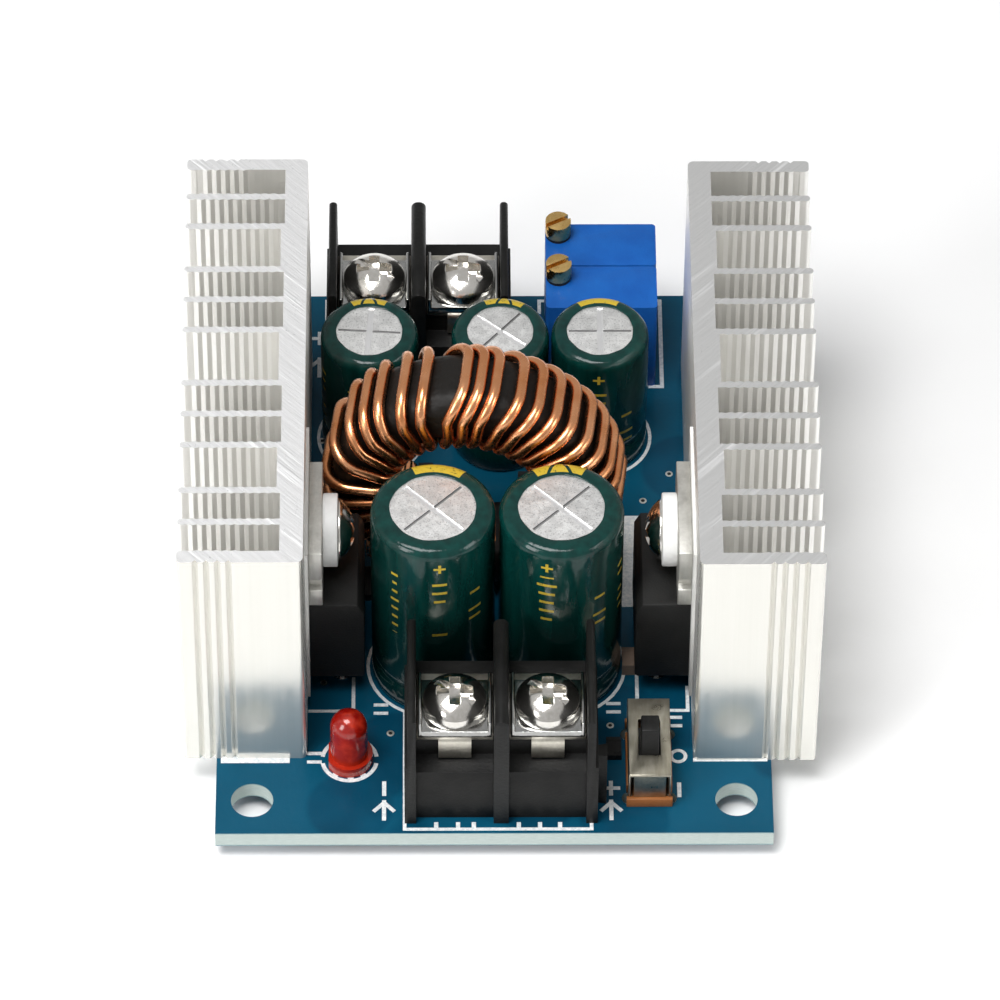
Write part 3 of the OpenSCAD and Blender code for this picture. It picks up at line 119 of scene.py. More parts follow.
class Signal:
    """A number or vector on its way through a finish, used in plain expressions."""

    def __init__(self, finish, socket):
        self.finish = finish
        self.socket = socket

    def maths(self, operation, *values):
        return self.finish.node("Math", {"operation": operation}, dict(enumerate(values)))

    def __add__(self, other):
        return self.maths("ADD", self, other)

    __radd__ = __add__

    def __sub__(self, other):
        return self.maths("SUBTRACT", self, other)

    def __rsub__(self, other):
        return self.maths("SUBTRACT", other, self)

    def __mul__(self, other):
        return self.maths("MULTIPLY", self, other)

    __rmul__ = __mul__

    def __truediv__(self, other):
        return self.maths("DIVIDE", self, other)

    def __abs__(self):
        return self.maths("ABSOLUTE", self)

    def __gt__(self, other):
        return self.maths("GREATER_THAN", self, other)

    def __lt__(self, other):
        return self.maths("LESS_THAN", self, other)

    def or_more(self, other):
        return self.maths("MAXIMUM", self, other)

    def whole(self):
        return self.maths("FLOOR", self)

    def fraction(self):
        return self.maths("FRACT", self)

    def wrapped(self, high, low):
        return self.maths("WRAP", self, high, low)

    def angle_from(self, across):
        return self.maths("ARCTAN2", self, across)


def socket_names(values):
    return {key.replace("_", " ").title().replace("Ior", "IOR"): value
            for key, value in values.items()}


class Finish:
    """A material; places in it are millimetres in the module's own frame."""

    def __init__(self, name, **fixed):
        self.material = bpy.data.materials.new(name)
        self.material.use_nodes = True
        self.tree = self.material.node_tree
        self.tree.nodes.clear()
        self.shader = self.tree.nodes.new("ShaderNodeBsdfPrincipled")
        out = self.tree.nodes.new("ShaderNodeOutputMaterial")
        self.tree.links.new(self.shader.outputs[0], out.inputs["Surface"])
        self.feed(self.shader, socket_names(fixed))
        place = self.node("TexCoord", out="Object")
        self.place = self.node("VectorMath", {"operation": "SCALE"},
                               {0: place, "Scale": 1 / MM})

    def feed(self, node, values):
        for key, value in values.items():
            socket = node.inputs[key]
            if isinstance(value, Signal):
                self.tree.links.new(value.socket, socket)
            elif socket.type == "RGBA":
                socket.default_value = (*value, 1)
            else:
                socket.default_value = value

    def node(self, kind, settings=None, values=None, out=0):
        made = self.tree.nodes.new("ShaderNode" + kind)
        for key, value in (settings or {}).items():
            setattr(made, key, value)
        self.feed(made, values or {})
        return Signal(self, made.outputs[out])

    def parts(self, vector):
        first = self.node("SeparateXYZ", values={0: vector})
        return [Signal(self, socket) for socket in first.socket.node.outputs]

    def xyz(self):
        return self.parts(self.place)

    def facing(self):
        return self.parts(self.node("TexCoord", out="Normal"))

    def vector(self, x, y, z):
        return self.node("CombineXYZ", values={0: x, 1: y, 2: z})

    def noise(self, scale, detail=3.0, rough=0.5, stretch=(1, 1, 1), at=None, warp=0.0):
        where = self.node("Mapping", values={"Vector": at or self.place, "Scale": stretch})
        return self.node("TexNoise", values={"Vector": where, "Scale": scale, "Detail": detail,
                                             "Roughness": rough, "Distortion": warp})

    def cells(self, scale, stretch):
        where = self.node("Mapping", values={"Vector": self.place, "Scale": stretch})
        return self.node("TexVoronoi", values={"Vector": where, "Scale": scale}, out="Distance")

    def spread(self, value, low, high, to_low=0.0, to_high=1.0):
        """Carries one span of values to another, and holds it at the ends."""
        return self.node("MapRange", {"clamp": True},
                         {"Value": value, "From Min": low, "From Max": high,
                          "To Min": to_low, "To Max": to_high})

    def mix(self, mask, below, above):
        return self.node("Mix", {"data_type": "RGBA"}, {0: mask, 6: below, 7: above}, out=2)

    def bump(self, height, depth, strength=1.0, over=None):
        values = {"Height": height, "Distance": depth * MM, "Strength": strength}
        if over:
            values["Normal"] = over
        return self.node("Bump", values=values)

    def set(self, **values):
        self.feed(self.shader, socket_names(values))
        return self.material


# ------------------------------------------------------------------ finishes

def board_finish():
    """Blue mask with faint copper areas under it, and bare glass fibre at the edges."""
    f = Finish("blue_board", coat_roughness=0.12, specular_ior_level=0.14)
    z = f.xyz()[2]
    facing_up = f.facing()[2]
    side = abs(facing_up) < 0.5
    cloud = f.noise(0.22, 2, 0.5)
    weave = f.noise(2.6, 2, 0.5, (1, 1, 0.1))
    copper = f.spread(f.cells(0.115, (1, 1, 0)), 0.42, 0.47)
    blue = f.mix(f.spread(cloud, 0.3, 0.7), (0.001, 0.042, 0.082), (0.001, 0.06, 0.115))
    blue = f.mix(copper * 0.5, blue, (0.003, 0.09, 0.16))
    glass = f.mix(f.noise(1.4, 4, 0.7, (1, 1, 9)), (0.34, 0.42, 0.4), (0.66, 0.73, 0.7))
    low, high = box_of("circuit_board")
    half = (high.z - low.z) / 2
    skin = f.spread(abs(z - (low.z + half)), half - 0.14, half - 0.04)
    glass = f.mix(skin * 0.8, glass, (0.1, 0.25, 0.3))
    rough = f.spread(cloud, 0.2, 0.8, 0.26, 0.36) + side * 0.4
    return f.set(base_color=f.mix(side, blue, glass), roughness=rough,
                 coat_weight=0.06 - side * 0.06, normal=f.bump(weave + copper * 0.6, 0.02))


def silk_finish():
    """White ink, worn thin in places."""
    f = Finish("white_print", roughness=0.6)
    worn = f.noise(3.5, 4, 0.7)
    return f.set(base_color=f.mix(f.spread(worn, 0.3, 0.62), (0.5, 0.56, 0.6), (0.84, 0.84, 0.83)),
                 normal=f.bump(worn, 0.015))


def heatsink_finish():
    """Slanting saw marks on the tops, drawn lines down the sides, smoother front and rear; painted
    shade greys the right heatsink's top.
    """
    f = Finish("sawn_extrusion")
    x, y, z = f.xyz()
    top = f.facing()[2] > 0.7
    across = abs(x) * 0.72 - y * 0.69
    along = abs(x) * 0.69 + y * 0.72
    cut = f.vector(across, along * 0.05, z * 0)
    saw = f.noise(2.2, 5, 0.72, at=cut)
    deep = f.spread(f.noise(0.9, 3, 0.6, at=cut), 0.56, 0.72)
    nicks = f.spread(f.noise(1.7, 3, 0.6, warp=3.0), 0.66, 0.7)
    drawn = f.noise(1.6, 5, 0.7, (1, 1, 0.012))
    fine = f.noise(6.0, 3, 0.6, (1, 1, 0.02))
    spots = f.noise(1.1, 4, 0.6)

    face = f.mix(f.spread(saw, 0.25, 0.75), (0.7, 0.7, 0.7), (1, 1, 1))
    # painted shade: the right heatsink's top is mixed half way to grey, for the light falling from
    # the left
    painted_right_shade = f.spread(x, -1, 1)
    face = f.mix(painted_right_shade, face, f.mix(0.5, face, (0.42, 0.42, 0.41)))
    face = f.mix(deep * 0.6, face, (1, 1, 1))
    face = f.mix(nicks * 0.5, face, (0.4, 0.4, 0.4))

    end_depth = 0.7
    low, high = box_of("left_heatsink")
    ends = abs(y - (low.y + high.y) / 2) > (high.y - low.y) / 2 - end_depth
    side = f.mix(drawn, (0.88, 0.87, 0.84), (0.98, 0.97, 0.94))
    side = f.mix(ends, side, f.mix(drawn, (0.76, 0.75, 0.7), (0.86, 0.85, 0.8)))

    rough = (f.spread(drawn, 0.2, 0.8, 0.4, 0.55) - ends * 0.27) * (1 - top) + \
        f.spread(saw, 0.2, 0.8, 0.6, 0.42) * top
    height = (saw + deep * 0.7) * top + \
        (drawn * 0.3 + fine * 0.2 + spots * 0.08) * (1 - top) * (1 - ends * 0.7)
    return f.set(base_color=f.mix(top, side, face), roughness=rough,
                 metallic=1 - ends * (1 - top) * 0.32, normal=f.bump(height, 0.05, 0.9))


def plain_metal(name, low, high, roughness, grain=(1, 1, 1), scale=3.0, depth=0.012):
    """Metal with a soft change of colour and fine grain along one way."""
    f = Finish(name, metallic=1.0)
    grained = f.noise(scale, 5, 0.65, grain)
    stain = f.noise(0.7, 4, 0.6)
    return f.set(base_color=f.mix(f.spread(grained * 0.5 + stain * 0.5, 0.3, 0.7), low, high),
                 roughness=f.spread(stain, 0.25, 0.75, roughness * 0.8, roughness * 1.3),
                 normal=f.bump(grained, depth))


def plain_plastic(name, low, high, roughness, scale=5.0, depth=0.02, coat=0.0):
    """Moulded plastic with a fine skin and faint scuffs."""
    f = Finish(name, coat_weight=coat, coat_roughness=0.15, specular_ior_level=0.18)
    skin = f.noise(scale, 4, 0.6)
    cloud = f.noise(0.35, 3, 0.55)
    scuff = f.spread(f.noise(1.3, 6, 0.75, (1, 0.25, 1)), 0.6, 0.72)
    return f.set(base_color=f.mix(f.spread(cloud, 0.3, 0.7) * 0.7 + scuff * 0.3, low, high),
                 roughness=f.spread(cloud + scuff * 0.3, 0.3, 0.9, roughness * 0.85,
                                    roughness * 1.2),
                 normal=f.bump(skin, depth))


def copper_finish():
    f = Finish("enamelled_wire", metallic=1.0, coat_weight=0.25, coat_roughness=0.06)
    heat = f.noise(0.35, 2, 0.5)
    fine = f.noise(1.2, 2, 0.5)
    return f.set(base_color=f.mix(f.spread(heat, 0.3, 0.7), (0.7, 0.27, 0.1),
                                  (0.88, 0.42, 0.21)),
                 roughness=f.spread(fine, 0.2, 0.8, 0.2, 0.32))


def core_finish():
    f = Finish("core_coating", coat_weight=0.05, coat_roughness=0.25, specular_ior_level=0.2)
    peel = f.noise(1.2, 3, 0.5)
    dust = f.spread(f.noise(5.0, 5, 0.7), 0.62, 0.78)
    return f.set(base_color=f.mix(dust * 0.6, (0.007, 0.006, 0.005), (0.03, 0.027, 0.024)),
                 roughness=f.spread(peel, 0.2, 0.8, 0.4, 0.6),
                 normal=f.bump(peel, 0.14))


def can_finish(name, centre, top, turn):
    """Blasted aluminium whose four scored quarters lean outwards a little; the wide score carries
    a painted highlight and the narrow one painted shade.
    """
    f = Finish(name, metallic=1.0)
    x, y, z = f.xyz()
    dx, dy = x - centre.x, y - centre.y
    cos, sin = math.cos(math.radians(turn)), math.sin(math.radians(turn))
    from_wide, from_narrow = abs(dy * cos - dx * sin), abs(dx * cos + dy * sin)
    cloud = f.noise(1.3, 5, 0.7)
    grit = f.noise(7.0, 3, 0.6)
    colour = f.mix(f.spread(cloud, 0.3, 0.7), (0.66, 0.66, 0.65), (0.9, 0.9, 0.89))
    colour = f.mix(f.spread(grit, 0.54, 0.66) * 0.6, colour, (0.34, 0.34, 0.34))
    scored = z < (top - 0.05)
    wide, narrow = scored * (from_wide < 0.26), scored * (from_narrow < 0.14)
    # painted highlight on the wide score and painted shade in the narrow one, for the light the
    # grooves catch or miss
    colour = f.mix(wide, colour, (0.97, 0.97, 0.97))
    colour = f.mix(narrow * (1 - wide), colour, (0.36, 0.36, 0.36))
    quarters = (from_narrow + from_wide) * -0.03
    return f.set(base_color=colour, roughness=f.spread(cloud, 0.2, 0.8, 0.4, 0.55) - wide * 0.15,
                 normal=f.bump(quarters, 1.0, over=f.bump(cloud + grit * 0.6, 0.025)))


def nylon_finish():
    f = Finish("white_nylon", roughness=0.42, subsurface_weight=0.2, subsurface_radius=(MM,) * 3)
    skin = f.noise(2.0, 4, 0.6)
    return f.set(base_color=f.mix(skin, (0.78, 0.78, 0.77), (0.9, 0.9, 0.89)),
                 normal=f.bump(skin, 0.03))


def lens_finish():
    """Clear red epoxy, brighter low down where light through the epoxy is painted, and where a
    swirl of colour shows.
    """
    f = Finish("red_lens", roughness=0.16, transmission_weight=0.3, ior=1.5, coat_weight=0.3,
               coat_roughness=0.03)
    z = f.xyz()[2]
    swirl = f.noise(0.9, 3, 0.5)
    # painted light: the red is brighter low down, as if light shone through the epoxy
    colour = f.mix(f.spread(z, 1.6, 7.5), (0.6, 0.03, 0.008), (0.36, 0.006, 0.003))
    return f.set(base_color=f.mix(f.spread(swirl, 0.5, 0.7) * 0.6, colour, (0.9, 0.06, 0.02)),
                 normal=f.bump(swirl, 0.03))


def solder_finish():
    f = Finish("tin_solder", metallic=1.0)
    ripple = f.noise(2.2, 4, 0.6)
    flux = f.spread(f.noise(1.2, 3, 0.6), 0.58, 0.7)
    return f.set(base_color=f.mix(flux * 0.6, (0.74, 0.75, 0.76), (0.5, 0.42, 0.28)),
                 roughness=f.spread(ripple, 0.3, 0.7, 0.14, 0.34), normal=f.bump(ripple, 0.06))


# one finish for each material slot of the record
FINISHES = {
    "board": board_finish(),
    "heatsink_aluminium": heatsink_finish(),
    "screw_steel": plain_metal("bright_screw", (0.66, 0.63, 0.58), (0.86, 0.84, 0.8), 0.16),
    "device_mould": plain_plastic("device_mould", (0.01, 0.01, 0.01), (0.02, 0.02, 0.019),
                                  0.55, 6.0, 0.03),
    "device_metal": plain_metal("tinned_tab", (0.52, 0.51, 0.47), (0.72, 0.71, 0.67), 0.45,
                                (1, 1, 0.1), 2.5, 0.03),
    "pad_sheet": plain_plastic("insulating_sheet", (0.6, 0.6, 0.58), (0.76, 0.76, 0.74), 0.5),
    "white_nylon": nylon_finish(),
    "core_coating": core_finish(),
    "copper_wire": copper_finish(),
    "can_aluminium": plain_metal("drawn_can", (0.5, 0.5, 0.5), (0.7, 0.7, 0.7), 0.4),
    "green_sleeve": plain_plastic("green_sleeve", (0.002, 0.04, 0.034), (0.003, 0.06, 0.05),
                                  0.16, 2.0, 0.02, 0.5),
    "black_rubber": plain_plastic("black_rubber", (0.015, 0.015, 0.015), (0.03, 0.03, 0.03), 0.7),
    "tinned_wire": plain_metal("tinned_lead", (0.6, 0.6, 0.59), (0.78, 0.78, 0.77), 0.3),
    "terminal_plastic": plain_plastic("terminal_plastic", (0.005, 0.005, 0.005),
                                      (0.016, 0.016, 0.015), 0.4, 3.5, 0.03),
    "contact_nickel": plain_metal("contact_plate", (0.5, 0.47, 0.4), (0.74, 0.71, 0.63), 0.34),
    # painted reflection: the chrome plates' colour is darkened for the dark surroundings they
    # reflect
    "clamp_chrome": plain_metal("clamp_plate", (0.3, 0.3, 0.29), (0.5, 0.5, 0.49), 0.1),
    "trimmer_blue": plain_plastic("trimmer_blue", (0.008, 0.09, 0.38), (0.012, 0.13, 0.48), 0.4,
                                  4.0, 0.03, 0.1),
    "adjuster_brass": plain_metal("turned_brass", (0.55, 0.33, 0.1), (0.83, 0.58, 0.24), 0.26),
    "switch_nickel": plain_metal("switch_cover", (0.28, 0.26, 0.2), (0.46, 0.43, 0.36), 0.3,
                                 (1, 0.2, 1)),
    "switch_phenolic": plain_plastic("phenolic", (0.26, 0.09, 0.025), (0.42, 0.17, 0.06), 0.45,
                                     3.0, 0.03, 0.2),
    "knob_plastic": plain_plastic("knob_plastic", (0.01, 0.01, 0.01), (0.025, 0.025, 0.024),
                                  0.42),
    "red_epoxy": lens_finish(),
    "chip_mould": plain_plastic("chip_mould", (0.016, 0.016, 0.016), (0.03, 0.03, 0.03), 0.55),
    "shunt_black": plain_plastic("shunt_glaze", (0.015, 0.015, 0.015), (0.03, 0.03, 0.03), 0.3),
    "resistor_black": plain_plastic("resistor_glaze", (0.015, 0.015, 0.015),
                                    (0.03, 0.03, 0.03), 0.3),
    "ceramic_tan": plain_plastic("ceramic", (0.2, 0.15, 0.12), (0.34, 0.25, 0.19), 0.5),
    "solder": solder_finish(),
}


def dress_nodes():
    for entry in frame["record"]["subparts"]:
        node = frame["nodes"][entry["node"]]
        node.data.materials.clear()
        node.data.materials.append(FINISHES[entry["material_slot"]])


# ------------------------------------------------------------------ making pieces

def add_piece(name, bm, finish, body=BODY, replaces=(), smooth=40):
    """Keeps a mesh made in millimetres as a piece; edges sharper than smooth stay sharp."""
    bmesh.ops.scale(bm, vec=(MM, MM, MM), verts=bm.verts)
    mesh = bpy.data.meshes.new(name)
    bm.to_mesh(mesh)
    bm.free()
    mesh.materials.append(finish)
    if smooth:
        mesh.shade_smooth()
        mesh.set_sharp_from_angle(angle=math.radians(smooth))
    piece = bpy.data.objects.new(name, mesh)
    bpy.context.scene.collection.objects.link(piece)
    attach(piece, body)
    if replaces:
        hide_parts(*replaces)


def revolve(bm, outline, centre, steps=96):
    """Turns a closed outline of (radius, height) points about an upright axis."""
    verts = [bm.verts.new((centre.x + r, centre.y, z)) for r, z in outline]
    edges = [bm.edges.new((a, b)) for a, b in zip(verts, verts[1:] + verts[:1])]
    bmesh.ops.spin(bm, geom=verts + edges, cent=centre, axis=(0, 0, 1), dvec=(0, 0, 0),
                   angle=2 * math.pi, steps=steps, use_merge=True)
    bmesh.ops.recalc_face_normals(bm, faces=bm.faces)


def arc(cx, cy, radius, start, end, steps):
    """Points along an arc, with its angles in degrees."""
    return [(cx + radius * math.cos(math.radians(start + (end - start) * i / steps)),
             cy + radius * math.sin(math.radians(start + (end - start) * i / steps)))
            for i in range(steps + 1)]


# ------------------------------------------------------------------ rounded edges

SHARP = math.radians(35)
FLAT = math.radians(1)
# how far in from its sharp edges each node is rounded
SOFTENED = {
    "input_terminal_housing": 0.12, "output_terminal_housing": 0.12,
    "input_terminal_contacts": 0.08, "output_terminal_contacts": 0.08,
    "input_negative_clamp": 0.12, "input_positive_clamp": 0.12,
    "output_positive_clamp": 0.12, "output_negative_clamp": 0.12,
    "input_negative_screw": 0.1, "input_positive_screw": 0.1,
    "output_positive_screw": 0.1, "output_negative_screw": 0.1,
    "left_heatsink_screw": 0.08, "right_heatsink_screw": 0.08,
    "diode_body": 0.12, "mosfet_body": 0.12, "diode_leadframe": 0.08, "mosfet_leadframe": 0.08,
    "left_insulating_bush": 0.12, "right_insulating_bush": 0.12,
    "switch_cover": 0.12, "switch_base": 0.06, "switch_slider": 0.12,
    "rear_trimmer_case": 0.1, "front_trimmer_case": 0.1,
    "rear_trimmer_screw": 0.06, "front_trimmer_screw": 0.06,
    "controller_chip": 0.06, "amplifier_chip": 0.06, "current_shunt": 0.06,
}


def soften(node, width):
    """A copy of a CAD node with its sharp edges rounded, shown in its place."""
    source = frame["nodes"][node]
    bm = bmesh.new()
    bm.from_mesh(source.data)
    bmesh.ops.scale(bm, vec=(1 / MM,) * 3, verts=bm.verts)
    bmesh.ops.remove_doubles(bm, verts=bm.verts, dist=0.0005)
    bmesh.ops.dissolve_limit(bm, angle_limit=FLAT, verts=bm.verts, edges=bm.edges)
    sharp = [e for e in bm.edges if len(e.link_faces) == 2 and e.calc_face_angle(0) > SHARP]
    bmesh.ops.bevel(bm, geom=sharp, offset=width, offset_type="OFFSET", segments=2,
                    profile=0.5, material=-1, affect="EDGES", clamp_overlap=True,
                    loop_slide=True)
    slot = next(e["material_slot"] for e in frame["record"]["subparts"] if e["node"] == node)
    add_piece(node + "_edges", bm, FINISHES[slot], source["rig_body"], (node,), smooth=30)


# ------------------------------------------------------------------ inductor

CORE_RADIUS, EYE_RADIUS, CORE_HALF = 11.7, 7.1, 3.2
RIM_EDGE, EYE_EDGE = 1.7, 1.0
CORE_YAW = math.radians(-7)
WIRE_RADIUS = 0.49
WIRE_OUT = 0.52  # from the core's surface to the wire's middle
# where each turn crosses the outside of the ring, in degrees from the top
TURNS_AT = (-160, -148, -136, -124, -112, -100, -88, -70, -56, -47, -39, -28, -19, -3, 3,
            9, 19, 27, 35, 43, 52, 61, 70, 79, 88, 100, 112, 124, 136, 148, 160)
EYE_SPAN = 288
LAST_LEAD_AT = math.radians(171)


def wire_route():
    """The wire's middle line through every turn, round the ring's axis along Y."""
    bend, tight = RIM_EDGE + WIRE_OUT, EYE_EDGE + WIRE_OUT
    outer, rim = CORE_RADIUS - RIM_EDGE, CORE_HALF - RIM_EDGE
    inner, sill = EYE_RADIUS + EYE_EDGE, CORE_HALF - EYE_EDGE
    wire_y, wire_r = CORE_HALF + WIRE_OUT, CORE_RADIUS + WIRE_OUT
    route = []

    def on_ring(radius, y, angle):
        route.append(Vector((radius * math.sin(angle), y, radius * math.cos(angle))))

    def half_turn(path, side, start, end):
        """Over one face of the ring, swinging gently from one angle to the other."""
        for i, (r, y) in enumerate(path):
            t = i / (len(path) - 1)
            on_ring(r, y * side, start + (end - start) * t * t * (3 - 2 * t))

    eye_bend = arc(inner, sill, tight, 90, 180, 8)
    over_face = arc(outer, rim, bend, 0, 90, 8) + eye_bend
    for i, degrees in enumerate(TURNS_AT):
        outside = math.radians(degrees)
        if i:
            half_turn(over_face[::-1], 1, inside, outside)
        inside = math.radians(-EYE_SPAN / 2 + i * EYE_SPAN / (len(TURNS_AT) - 1))
        half_turn(over_face, -1, outside, inside)
    half_turn(eye_bend[::-1], 1, inside, inside)

    # both leads run straight down into the solder
    foot = box_of("solder_joints")[0].z - middle("inductor_core").z - 0.3
    first = math.radians(TURNS_AT[0])
    first_x, first_z = wire_r * math.sin(first), wire_r * math.cos(first)
    over_rim = [(y, first_z + z) for y, z in arc(wire_y - tight, -tight, tight, 0, 90, 6)]
    start = [Vector((first_x, y, z))
             for y, z in [(wire_y, foot), (wire_y, (foot + first_z) / 2)] + over_rim]
    last_x = CORE_RADIUS * math.sin(LAST_LEAD_AT)
    last_z = CORE_RADIUS * math.cos(LAST_LEAD_AT)
    end = [Vector((last_x, wire_y, z)) for z in (last_z, (last_z + foot) / 2, foot)]
    return start + route + end


def inductor_place():
    return Matrix.Translation(middle("inductor_core")) @ Matrix.Rotation(CORE_YAW, 4, "Z")


def make_winding():
    """One round wire through all the turns, with both leads down to the solder."""
    curve = bpy.data.curves.new("wire_path", "CURVE")
    curve.dimensions = "3D"
    curve.bevel_depth = WIRE_RADIUS
    curve.bevel_resolution = 4
    curve.use_fill_caps = True
    route = wire_route()
    spline = curve.splines.new("POLY")
    spline.points.add(len(route) - 1)
    for point, place in zip(spline.points, route):
        point.co = (*place, 1)
    holder = bpy.data.objects.new("wire_path", curve)
    bpy.context.scene.collection.objects.link(holder)
    bm = bmesh.new()
    bm.from_mesh(bpy.data.meshes.new_from_object(holder))
    bpy.data.objects.remove(holder)
    bmesh.ops.transform(bm, matrix=inductor_place(), verts=bm.verts)
    add_piece("copper_winding", bm, FINISHES["copper_wire"],
              replaces=("inductor_winding",), smooth=60)


def make_core():
    """The coated ring, with wider rounding at its rim than in its eye."""
    bm = bmesh.new()
    outer, rim = CORE_RADIUS - RIM_EDGE, CORE_HALF - RIM_EDGE
    inner, sill = EYE_RADIUS + EYE_EDGE, CORE_HALF - EYE_EDGE
    revolve(bm, arc(outer, rim, RIM_EDGE, 90, 0, 8) + arc(outer, -rim, RIM_EDGE, 0, -90, 8)
            + arc(inner, -sill, EYE_EDGE, -90, -180, 6) + arc(inner, sill, EYE_EDGE, 180, 90, 6),
            Vector((0, 0, 0)))
    upright = Matrix.Rotation(math.radians(90), 4, "X")
    bmesh.ops.transform(bm, matrix=inductor_place() @ upright, verts=bm.verts)
    add_piece("rounded_core", bm, FINISHES["core_coating"],
              replaces=("inductor_core",))


# ------------------------------------------------------------------ capacitors

CAPACITORS = {
    # name: the lip's width, how the can's wide score is turned, and for the print the angle
    # of the gold band's middle, half its width, whether it has a notch, columns of marks
    "input_capacitor_left":
        (1.45, -45, (84, 28, False, ((-84, 1.0), (-48, 0.8), (-128, 0.5)))),
    "input_capacitor_right":
        (1.45, -45, (92, 28, True, ((-104, 1.0), (-52, 0.8), (-20, 0.6)))),
    "output_capacitor_left":
        (1.2, 86, (91, 25, True, ((-110, 0.8), (-40, 0.8), (200, 0.6)))),
    "output_capacitor_middle":
        (1.2, -40, (84, 28, True, ((-150, 0.8), (-60, 0.8), (10, 0.6)))),
    "output_capacitor_right":
        (1.2, 90, (92, 29, False, ((-92, 1.0), (-56, 0.8), (10, 0.6)))),
}
SLEEVE_WALL = 0.1
CAN_UNDER_LIP = 0.14  # from the sleeve's highest point down to the can's top
BAND_DEPTH = 1.15
PLUS_AT, PLUS_HALF, PLUS_STROKE = 1.9, 0.5, 0.12
ROWS_FROM, ROWS_TO, ROWS_PER_MM = 3.0, 11, 0.95
WIDEST = 1.0  # a column of this width has the plus above it


def sleeve_finish(name, centre, radius, top, lip, band_at, band_half, notched, columns):
    """Glossy green film with gold print: a band on the shoulder, a plus and plain bars."""
    f = Finish(name, coat_weight=0.15, coat_roughness=0.05, specular_ior_level=0.25)
    x, y, z = f.xyz()
    dx, dy = x - centre.x, y - centre.y
    angle = dy.angle_from(dx) * (180 / math.pi)
    out = f.node("VectorMath", {"operation": "LENGTH"}, {0: f.vector(dx, dy, 0)}, out=1)
    drop = top - z

    def away(degrees):
        """Degrees round the can from a place, never more than half a turn."""
        return abs((angle - degrees).wrapped(180, -180))

    from_band = away(band_at)
    on_shoulder = (drop < BAND_DEPTH) * (out > radius - lip + 0.12)
    gold = (from_band < band_half) * on_shoulder
    if notched:
        gold = gold * (abs(from_band - 2 - (radius - out) * 9) > 2.2)
    degrees_per_mm = 180 / math.pi / radius
    for degrees, size in columns:
        side = away(degrees) / degrees_per_mm
        rows = drop * ROWS_PER_MM + degrees * 0.11
        row = rows.fraction()
        length = f.node("TexWhiteNoise", {"noise_dimensions": "1D"}, {"W": rows.whole()})
        bars = (side < (length * 0.6 + 0.3) * size) * (row > 0.3) * (row < 0.58) * (length > 0.2)
        gold = gold.or_more(bars * (drop > ROWS_FROM) * (drop < ROWS_TO))
        if size == WIDEST:
            plus_drop = abs(drop - PLUS_AT)
            gold = gold.or_more((side < PLUS_STROKE) * (plus_drop < PLUS_HALF))
            gold = gold.or_more((side < PLUS_HALF) * (plus_drop < PLUS_STROKE))
    gold = gold * f.spread(f.noise(4.0, 4, 0.7), 0.3, 0.42)

    streak = f.noise(1.2, 3, 0.5, (1, 1, 0.08))
    green = f.mix(f.spread(streak, 0.3, 0.7), (0.001, 0.024, 0.021), (0.002, 0.044, 0.037))
    # painted shade: the green film and the gold print darken towards the bottom of the can
    shade = f.spread(drop, 3, 14)
    green = f.mix(shade * 0.6, green, (0.001, 0.01, 0.009))
    yellow = f.mix(shade, (0.56, 0.4, 0.035), (0.2, 0.14, 0.015))
    wrinkle = f.noise(1.0, 3, 0.55, (1, 1, 0.5))
    return f.set(base_color=f.mix(gold, green, yellow),
                 roughness=gold * 0.2 + f.spread(wrinkle, 0.3, 0.7, 0.1, 0.2),
                 normal=f.bump(wrinkle, 0.05, over=f.bump(gold, 0.01)))


def make_capacitor(name, lip_width, turn, print_facts):
    """A film sleeve with a pressed-in waist and a wavy lip, and its can's own finish."""
    low, high = box_of(name + "_sleeve")
    centre = middle(name + "_sleeve")
    radius = (high.x - low.x) / 2
    top, base = high.z, low.z
    lip = radius - CAN_UNDER_LIP - lip_width
    wall = [(radius - 0.55, base), (radius - 0.2, base + 0.05), (radius, base + 0.5),
            (radius, base + 1.7), (radius - 0.12, base + 2.2), (radius - 0.24, base + 2.6),
            (radius - 0.12, base + 3.0), (radius, base + 3.5), (radius, top - 2.2)]
    shoulder = arc(radius - 0.9, top - 0.9, 0.9, 0, 90, 8)
    over_can = [(lip + 0.15, top + 0.01), (lip, top - 0.05)]
    inside = [(r - SLEEVE_WALL, z) for r, z in wall + shoulder[:4]]
    inside += [(r - SLEEVE_WALL, z - SLEEVE_WALL) for r, z in shoulder[4:]]
    inside += [(r, z - SLEEVE_WALL) for r, z in over_can]
    bm = bmesh.new()
    revolve(bm, wall + shoulder + over_can + inside[:0:-1], Vector((centre.x, centre.y, 0)))
    for vert in bm.verts:
        around = vert.co - centre
        out = math.hypot(around.x, around.y)
        if vert.co.z > top - 1.2 and out < radius - 0.3:
            angle = math.atan2(around.y, around.x)
            ripple = math.sin(angle * 5 + radius) * 0.03 + math.sin(angle * 13) * 0.015
            vert.co.x += around.x / out * ripple
            vert.co.y += around.y / out * ripple
    finish = sleeve_finish(name + "_film", centre, radius, top, lip_width, *print_facts)
    add_piece(name + "_film", bm, finish, replaces=(name + "_sleeve",))
    can = frame["nodes"][name + "_can"].data.materials
    can[0] = can_finish(name + "_metal", centre, top - CAN_UNDER_LIP, turn)


# ------------------------------------------------------------------ print on the board

INK = 0.02
INK_STEP, INK_LEVELS = 0.0002, 97
BOARD_TOP = box_of("circuit_board")[1].z
MARK, LINE, HEAVY = 0.34, 0.3, 0.35
